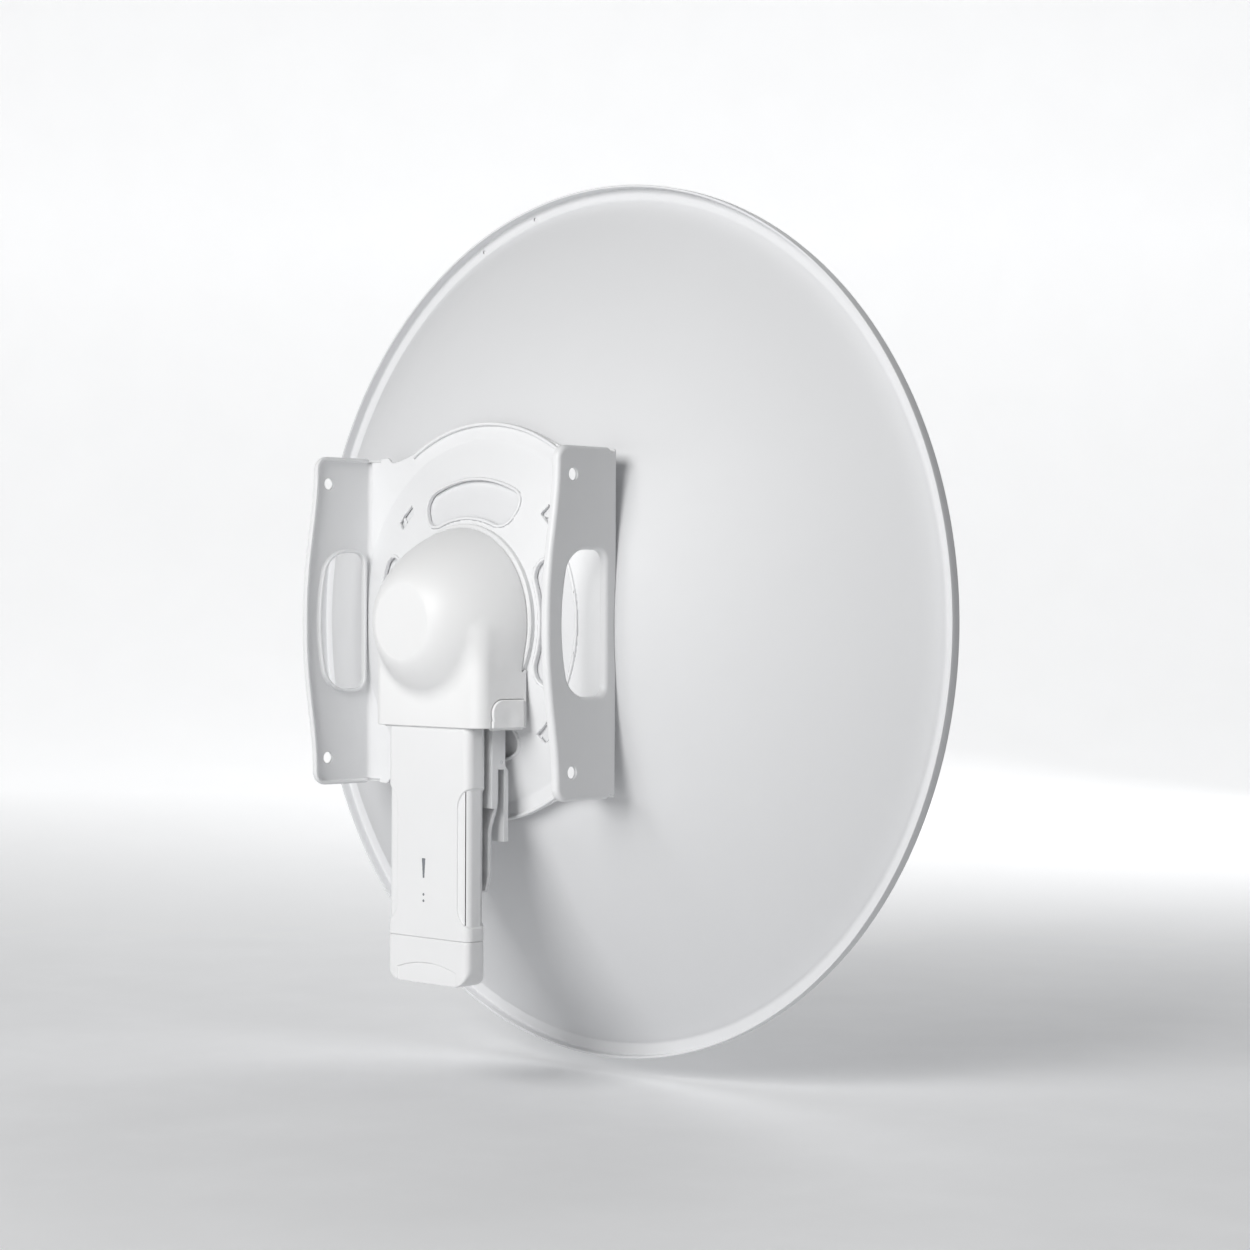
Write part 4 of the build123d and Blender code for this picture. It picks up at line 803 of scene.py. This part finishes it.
# range in x, cell size and seams of each mesh of the bracket
PLATE_CHUNKS = {
    "bracket_plate_left": (-101.5, 1.5, 1.0, (-100.0, 0.0)),
    "bracket_plate_right": (-1.5, 101.5, 1.0, (0.0, 100.0)),
    "bracket_flange_left": (-128.5, -98.5, 0.8, (-np.inf, -100.0)),
    "bracket_flange_right": (98.5, 128.5, 0.8, (100.0, np.inf)),
}
coarse = 1.0
for name, (low_x, high_x, cell, seams) in PLATE_CHUNKS.items():
    reach = 122.5 if "flange" in name else 145.0
    low, high = (low_x, -52.0, -reach), (high_x, 26.0, reach)
    part = mesh_field(name, bracket_field, low, high, cell * coarse, seams=seams)
    place(part, "bracket", "bracket_paint", FINISH["bracket_paint"], "mounting_bracket")


# ---------------------------------------------------------------- feed

TUBE_R = 20.5
FEED_FRONT_Y = -166.0
FEED_BACK_Y = -158.0

# splash plate: its dished front from the edge inward, then the plug and the back outward
disc_section = [
    (61.3, FEED_FRONT_Y), (59.5, FEED_FRONT_Y), (58.7, FEED_FRONT_Y + 2.2),
    (55.3, FEED_FRONT_Y + 2.8), (52.3, FEED_FRONT_Y + 1.8), (48.8, FEED_FRONT_Y + 1.8),
    (43.0, FEED_FRONT_Y + 3.6), (28.0, FEED_FRONT_Y + 13.5), (25.5, FEED_FRONT_Y + 14.4),
    (19.4, FEED_FRONT_Y + 14.4), (18.6, FEED_FRONT_Y + 13.6), (17.2, FEED_FRONT_Y + 13.6),
    (16.4, FEED_FRONT_Y + 15.0), (11.0, FEED_FRONT_Y + 25.5), (0.0, FEED_FRONT_Y + 25.5),
    (0.0, FEED_FRONT_Y + 27.5), (18.4, FEED_FRONT_Y + 27.5), (18.4, FEED_BACK_Y + 13.9),
    (TUBE_R, FEED_BACK_Y + 13.9), (28.0, FEED_BACK_Y + 10.5), (44.0, FEED_BACK_Y + 1.6),
    (61.3, FEED_BACK_Y + 0.6),
]
disc_radii = [0.6, 0.6, 0.9, 2.0, 1.2, 2.0, 2.5, 2.5, 0.8, 0.5, 0.4, 0.5, 1.0, 1.0] + [0.0] * 4
disc_radii += [0.3, 1.5, 3.0, 0.9]
place(
    turn("feed_splash_plate", rounded(disc_section, disc_radii), 240),
    "bracket", node_slot["feed_disc"], FINISH[node_slot["feed_disc"]], "feed_disc",
)
tube_section = [
    (18.5, -12.0), (TUBE_R, -12.0), (TUBE_R, -18.1), (23.0, -20.0), (23.0, -25.3), (TUBE_R, -40.3),
    (TUBE_R, -144.0), (18.5, -144.0),
]
place(
    turn("feed_boom", rounded(tube_section, [0.4, 0.4, 0.5, 0.8, 2.5, 6.0, 0.5, 0.4], 6), 160),
    "bracket", node_slot["feed_tube"], FINISH[node_slot["feed_tube"]], "feed_tube",
)
cap_section = [(23.05, -21.3), (43.3, -21.3), (43.3, -22.7), (40.1, -23.9), (23.05, -24.3)]
place(
    turn("feed_base_cap", rounded(cap_section, [0.2, 0.4, 0.9, 2.0, 0.4], 5), 200),
    "bracket", node_slot["base_cap"], FINISH[node_slot["base_cap"]], "base_cap",
)


# ---------------------------------------------------------------- shroud and release tabs

DOME_BASE_Y = -16.1
DOME_END_Y = 41.3
DOME_BASE_R = 67.0
DOME_END_R = 26.2
DOME_POWER = 1.4
SHROUD_WALL = 2.0
BOX_REAR_Y = 18.6
BOX_REAR_X = 54.3
BOX_BOTTOM_Z = -73.4
SKIRT_Y = -20.0
SEAT_R = 70.3
BOX_FRONT_X = 63.0
BOX_FRONT_Y = -21.0
WALL_SLOPE = (BOX_FRONT_X - BOX_REAR_X) / (BOX_REAR_Y - BOX_FRONT_Y)
WALL_COS = 1 / math.hypot(1, WALL_SLOPE)
BOX_CORNER_R = 9.0
TAB_CENTRE_Y = -5.0
TAB_HALF_W = 13.0
TAB_TOP_Z = -53.5
TAB_ARC_R = 9.0
TAB_PROUD = 1.6
TAB_GAP = 0.35


def dome_field(x, y, z):
    """Rounded dome that ends in a flat disc."""
    r = np.hypot(x, z)
    u = np.maximum(r - DOME_END_R, 1e-4) / (DOME_BASE_R - DOME_END_R)
    w = np.maximum(y - DOME_BASE_Y, 1e-4) / (DOME_END_Y - DOME_BASE_Y)
    size = (u**DOME_POWER + w**DOME_POWER) ** (1 / DOME_POWER)
    lean_u = (u / size) ** (DOME_POWER - 1) / (DOME_BASE_R - DOME_END_R)
    lean_w = (w / size) ** (DOME_POWER - 1) / (DOME_END_Y - DOME_BASE_Y)
    return (size - 1) / np.hypot(lean_u, lean_w)


def box_field(x, y, z):
    """Box below the dome, with sides that flare towards the dish."""
    side = (np.abs(x) - BOX_REAR_X - WALL_SLOPE * (BOX_REAR_Y - y)) * WALL_COS
    return both(both(side, y - BOX_REAR_Y, BOX_CORNER_R), z, 7.0)


def tab_frame(x, y, z):
    """Place on the release tab's plane: along the wall, height and distance out of the wall."""
    wall_x = BOX_REAR_X + WALL_SLOPE * (BOX_REAR_Y - TAB_CENTRE_Y)
    dx, dy = np.abs(x) - wall_x, y - TAB_CENTRE_Y
    along = (dy - WALL_SLOPE * dx) * WALL_COS
    out = (dx + WALL_SLOPE * dy) * WALL_COS
    return along, z, out


def tab_outline(along, height):
    """Release tab from outside, with one large round corner at the upper rear."""
    middle = (TAB_TOP_Z + BOX_BOTTOM_Z) / 2
    half_h = (TAB_TOP_Z - BOX_BOTTOM_Z) / 2
    corner = np.where((along > 0) & (height > middle - 5), TAB_ARC_R, 1.2)
    return rect(along, height - middle, TAB_HALF_W, half_h, corner)


def shroud_field(x, y, z):
    """Moulded shell of the dome and its box, open at the bottom and towards the dish."""
    outer = blend(dome_field(x, y, z), box_field(x, y, z), 6.0)
    shell = np.maximum(outer, -(outer + SHROUD_WALL))
    shell = both(shell, BOX_BOTTOM_Z - z, 0.7)
    shell = both(shell, SKIRT_Y - y, 0.5)
    seat = np.minimum(SEAT_R - np.hypot(x, z), DOME_BASE_Y - y)
    shell = both(shell, seat, 0.6)
    along, height, out = tab_frame(x, y, z)
    opening = np.maximum(tab_outline(along, height) - TAB_GAP, np.abs(out) - 8.0)
    return both(shell, -opening, 0.5)


shroud = mesh_field(
    "shroud_shell", shroud_field, (-68.5, -21.5, -75), (68.5, 42.5, 68.5), 0.8 * coarse
)
place(shroud, "shroud", "shroud_plastic", FINISH["shroud_plastic"], "shroud")


def tab_field(x, y, z):
    """Release tab with a thumb dish outside and a keeper behind the wall."""
    along, height, out = tab_frame(x, y, z)
    plan = tab_outline(along, height)
    pad = both(plan, slab(out, -SHROUD_WALL, TAB_PROUD), 1.2)
    dish = np.hypot(np.hypot(along + 1.0, height + 66.5) * 0.55, out - TAB_PROUD - 9.0) - 9.5
    pad = both(pad, -dish, 0.5)
    keeper = np.maximum(plan - 1.4, slab(out, -SHROUD_WALL - 1.3, -SHROUD_WALL - 0.3))
    stem = np.maximum(plan + 2.0, slab(out, -SHROUD_WALL - 1.0, -SHROUD_WALL + 0.5))
    return np.minimum(pad, np.minimum(keeper, stem))


for side, low_x, high_x in (("right", 52, 65.5), ("left", -65.5, -52)):
    tab = mesh_field(
        f"release_pad_{side}", tab_field, (low_x, -20.5, -75.5), (high_x, 10.5, -51), 0.45 * coarse
    )
    name = f"release_tab_{side}"
    place(tab, name, node_slot[name], FINISH[node_slot[name]], name)


# ---------------------------------------------------------------- radio

RADIO_HALF_W = 42.0
RADIO_REAR_Y = 16.2
RADIO_FRONT_Y = -3.8
RADIO_TOP_Z = -66.0
RADIO_SEAM_Z = -222.0
RADIO_BOTTOM_Z = -254.3
RADIO_WALL = 2.0
RADIO_MID_Y = (RADIO_REAR_Y + RADIO_FRONT_Y) / 2
RADIO_HALF_D = (RADIO_REAR_Y - RADIO_FRONT_Y) / 2
GRIP_X = 31.0
GRIP_Z = (-213.0, -115.0)
GRIP_DEPTH = 1.1
REAR_CORNER_R = 6.0
FRONT_CORNER_R = 8.0
CAVITY_Z = (-220.0, -68.0)
COVER_MIDDLE_Z = -144.0
COVER_BACK_Y = -1.55
COVER_HOLE_HALF = (33.55, 75.55)
CHANNEL_HALF = (12.45, 8.4)
CHANNEL_END_Z = -71.0
RF_JACK_AT = (22.0, 6.0)
RF_JACK_HOLE_R = 3.25
ETHERNET_Y = 6.2
ETHERNET_HALF = (8.15, 6.75)
RESET_AT = (22.0, 9.0)
RESET_HOLE_R = 1.9
LED_X = 3.0
LED_BAR_Z = -173.0
LED_BAR_HALF_H = 7.0
LED_BAR_HALF_W = 1.3
LED_BAR_TAPER = 1.0
DOT_R = 1.0
DOT_Z = (-196.0, -191.5)
GUIDE_Y = (11.7, 13.8)
LID_TOP_Z = -222.4
LID_CORNER_R = 15.0
GLAND_HOLE_R = 6.5


def radio_plan(x, y, inset=0.0):
    """Plan of the radio, with its own corner radius at the rear and at the front."""
    corner = np.where(y > RADIO_MID_Y, REAR_CORNER_R, FRONT_CORNER_R) - inset
    return rect(x, y - RADIO_MID_Y, RADIO_HALF_W - inset, RADIO_HALF_D - inset, corner)


def grip_field(x, z):
    """Stadium-ended recess that wraps each side of the radio, seen from behind."""
    middle = (GRIP_Z[0] + GRIP_Z[1]) / 2
    half = (GRIP_Z[1] - GRIP_Z[0]) / 2
    return rect(np.abs(x) - GRIP_X - 20.0, z - middle, 20.0, half, 15.0)


def radio_field(x, y, z):
    """Radio housing with side grips and openings for the cover, rail, jacks and reset."""
    plan = radio_plan(x, y)
    block = both(plan, z - RADIO_TOP_Z, 2.0)
    block = both(block, RADIO_SEAM_Z - z, 0.6)
    recess = grip_field(x, z)
    shallow = both(-(plan + GRIP_DEPTH), recess, 0.5)
    block = both(block, -shallow, 0.6)
    inner = np.maximum(radio_plan(x, y, RADIO_WALL), slab(z, *CAVITY_Z))
    cover = np.maximum(rect(x, z - COVER_MIDDLE_Z, *COVER_HOLE_HALF), y - COVER_BACK_Y)
    channel = np.maximum(rect(x, y - RADIO_FRONT_Y, *CHANNEL_HALF), CHANNEL_END_Z - z)
    jack_at, jack_y = RF_JACK_AT
    jacks = np.hypot(np.abs(x) - jack_at, y - jack_y) - RF_JACK_HOLE_R
    jacks = np.maximum(jacks, CHANNEL_END_Z + 1.0 - z)
    floor = z - CAVITY_Z[0] - 1.0
    port = np.maximum(rect(x, y - ETHERNET_Y, *ETHERNET_HALF), floor)
    reset = np.maximum(np.hypot(x - RESET_AT[0], y - RESET_AT[1]) - RESET_HOLE_R, floor)
    holes = np.minimum(np.minimum(inner, cover), np.minimum(channel, jacks))
    holes = np.minimum(holes, np.minimum(port, reset))
    return both(block, -holes, 0.3)


radio = mesh_field(
    "radio_case", radio_field, (-43.5, -5, -223.5), (43.5, 17.5, -64.5), 0.8 * coarse
)
place(radio, "radio", "radio_plastic", FINISH["radio_plastic"], "radio_housing")


def port_cover_field(x, y, z):
    """Lid over the ports: round lower corners, a thumb ledge and a thin tongue at the seam."""
    plan = radio_plan(x, y)
    half_h = (LID_TOP_Z - RADIO_BOTTOM_Z) / 2
    middle = (LID_TOP_Z + RADIO_BOTTOM_Z) / 2
    corner = np.where(z < middle, LID_CORNER_R, 0.8)
    front = rect(x, z - middle, RADIO_HALF_W, half_h, corner)
    block = both(plan, front, 1.2)
    arc = np.hypot(x, z + 332.0) - 92.5
    ledge = np.maximum(arc, np.maximum(RADIO_REAR_Y - 0.7 - y, np.abs(x) - 30.0))
    block = both(block, -ledge, 0.5)
    inner = np.maximum(radio_plan(x, y, RADIO_WALL), RADIO_BOTTOM_Z + RADIO_WALL - z)
    half_w, inner_r = RADIO_HALF_W - RADIO_WALL, LID_CORNER_R - RADIO_WALL
    inner = np.maximum(inner, rect(x, z - middle - 10.0, half_w, half_h + 8.0, inner_r))
    gland = np.hypot(x, y - ETHERNET_Y) - GLAND_HOLE_R
    lid = both(block, -np.minimum(inner, gland), 0.4)
    tongue = np.maximum(slab(plan, -1.9, -0.4), slab(z, -225.0, RADIO_SEAM_Z - 0.04))
    return np.minimum(lid, tongue)


cover = mesh_field(
    "port_lid", port_cover_field, (-43.5, -5, -255.5), (43.5, 17.5, -221.5), 0.7 * coarse
)
place(cover, "port_cover", node_slot["port_cover"], FINISH[node_slot["port_cover"]], "port_cover")


def light_field(x, y, z):
    """Tapered signal bar and two dots, with softened edges."""
    height = z - LED_BAR_Z
    taper = LED_BAR_HALF_W + height * LED_BAR_TAPER / (2 * LED_BAR_HALF_H)
    bar = both(np.abs(x - LED_X) - taper, np.abs(height) - LED_BAR_HALF_H, 0.4)
    dots = [np.hypot(x - LED_X, z - dot) - DOT_R for dot in DOT_Z]
    shape = np.minimum(bar, np.minimum(*dots))
    face = both(shape, slab(y, GUIDE_Y[0], RADIO_REAR_Y + 0.06), 0.05)
    guide = np.maximum(rect(x - LED_X, height + 8.0, 3.0, 18.0, 2.0), slab(y, *GUIDE_Y))
    return np.minimum(face, guide)


lights = mesh_field(
    "signal_lights", light_field, (-0.6, 11, -200), (6.6, 17, -162), 0.22 * coarse
)
place(lights, "radio", "light_pipe", FINISH["light_pipe"], "led_light_pipes")


# ---------------------------------------------------------------- latch

LATCH_PATH = [
    (-15.8, -98.0), (-15.8, -124.3), (-15.5, -127.0), (-14.6, -131.0), (-13.3, -134.5),
    (-10.5, -141.6), (-9.6, -144.4), (-9.2, -147.2), (-8.8, -178.0), (-8.0, -181.5), (-5.9, -187.2),
]
LATCH_HALF_W = 38.0
LATCH_SHEET = 3.0
LATCH_PIN = (-16.0, -98.0)


def latch_field(x, y, z):
    """Bent latch arm of even thickness on a bored knuckle."""
    strip = path_distance(y, z, LATCH_PATH) - LATCH_SHEET / 2
    from_pin = np.hypot(y - LATCH_PIN[0], z - LATCH_PIN[1])
    knuckle = from_pin - 3.2
    section = blend(strip, knuckle, 2.0)
    arm = both(section, np.abs(x) - LATCH_HALF_W, 0.8)
    return np.maximum(arm, 1.55 - from_pin)


latch = mesh_field(
    "latch_spring", latch_field, (-39.5, -20.5, -190), (39.5, -3.5, -93.5), 0.8 * coarse
)
place(latch, "latch", node_slot["latch_arm"], FINISH[node_slot["latch_arm"]], "latch_arm")


# ---------------------------------------------------------------- softened edges on kept CAD nodes

replaced = {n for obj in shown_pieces() for n in obj.get("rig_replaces", [])}
for node, obj in frame["nodes"].items():
    if node in replaced or obj.hide_render:
        continue
    edge = obj.modifiers.new("edge_softening", "BEVEL")
    edge.width = 0.25 * MM
    edge.segments = 2
    edge.limit_method = "ANGLE"
    edge.angle_limit = math.radians(45)
    edge.harden_normals = True
    obj.data.set_sharp_from_angle(angle=math.radians(35))


# ---------------------------------------------------------------- studio


def area_light(name, position, target, size, power, tint=(1.0, 1.0, 1.0)):
    """Rectangular soft light aimed at a point."""
    data = bpy.data.lights.new(name, "AREA")
    data.shape = "RECTANGLE"
    data.size, data.size_y = size
    data.energy = power
    data.color = tint
    lamp = bpy.data.objects.new(name, data)
    bpy.context.scene.collection.objects.link(lamp)
    lamp.location = position
    aim = Vector(target) - Vector(position)
    lamp.rotation_mode = "QUATERNION"
    lamp.rotation_quaternion = aim.to_track_quat("-Z", "Y")
    return lamp


FLOOR_START = -6.0
FLOOR_END = 3.2
COVE_R = 1.2
WALL_TOP = 4.5
FLOOR_HALF_W = 7.0


def backdrop():
    """Floor that curves up into a wall and glows softly towards it, in metres."""
    floor_z = cad_low[2] - 0.012
    profile = [(FLOOR_START, 0.0), (FLOOR_END, 0.0)]
    for t in np.linspace(0, math.pi / 2, 24):
        profile.append((FLOOR_END + COVE_R * math.sin(t), COVE_R - COVE_R * math.cos(t)))
    profile.append((FLOOR_END + COVE_R, WALL_TOP))
    away = Vector((0.657, -0.754, 0)).normalized()
    side = Vector((away.y, -away.x, 0))
    points, faces = [], []
    for d, h in profile:
        for s in (-FLOOR_HALF_W, FLOOR_HALF_W):
            p = away * d + side * s
            points.append((p.x, p.y, floor_z + h))
    for k in range(len(profile) - 1):
        faces.append((2 * k, 2 * k + 1, 2 * k + 3, 2 * k + 2))
    mesh = bpy.data.meshes.new("studio_sweep")
    mesh.from_pydata(points, [], faces)
    for face in mesh.polygons:
        face.use_smooth = True
    sweep = bpy.data.objects.new("studio_sweep", mesh)
    bpy.context.scene.collection.objects.link(sweep)
    paper = finish("pale_floor", (0.86, 0.865, 0.875), 0.9, (40.0, 0.02, 0.05), specular=0.1)
    sweep.data.materials.append(paper)
    tree = paper.node_tree
    coordinate = tree.nodes.new("ShaderNodeTexCoord")
    distance = tree.nodes.new("ShaderNodeVectorMath")
    distance.operation = "DOT_PRODUCT"
    distance.inputs[1].default_value = away
    glow = tree.nodes.new("ShaderNodeMapRange")
    glow.inputs["From Min"].default_value = 0.2
    glow.inputs["From Max"].default_value = 3.4
    glow.inputs["To Max"].default_value = 0.52
    tree.links.new(coordinate.outputs["Object"], distance.inputs[0])
    tree.links.new(distance.outputs["Value"], glow.inputs["Value"])
    shader = tree.nodes["Principled BSDF"]
    shader.inputs["Emission Color"].default_value = (1.0, 1.0, 1.0, 1.0)
    tree.links.new(glow.outputs["Result"], shader.inputs["Emission Strength"])


backdrop()
world = bpy.data.worlds.new("studio")
bpy.context.scene.world = world
world.use_nodes = True
world.node_tree.nodes["Background"].inputs["Color"].default_value = (0.96, 0.98, 1.0, 1.0)
world.node_tree.nodes["Background"].inputs["Strength"].default_value = 0.16
centre = (0.0, -0.02, 0.0)
area_light("key", (-0.42, 2.56, 1.14), centre, (1.5, 1.5), 68.0, (1.0, 0.995, 0.985))
area_light("front_fill", (0.6, -2.8, 1.2), centre, (2.2, 2.2), 30.0)
bpy.context.scene.view_settings.view_transform = "Standard"

camera_data = bpy.data.cameras.new("camera")
camera_data.lens = 80.5
camera_data.sensor_width = 36.0
camera_data.clip_start, camera_data.clip_end = 0.05, 50.0
camera = bpy.data.objects.new("camera", camera_data)
bpy.context.scene.collection.objects.link(camera)
camera.location = (-1.4467, 1.3484, 0.0119)
aim = Vector((-0.048, -0.135, -0.002)) - camera.location
camera.rotation_mode = "QUATERNION"
turn_level = aim.to_track_quat("-Z", "Y").to_matrix()
roll = Matrix.Rotation(math.radians(0.26), 3, "Z")
camera.rotation_quaternion = (turn_level @ roll).to_quaternion()
bpy.context.scene.camera = camera
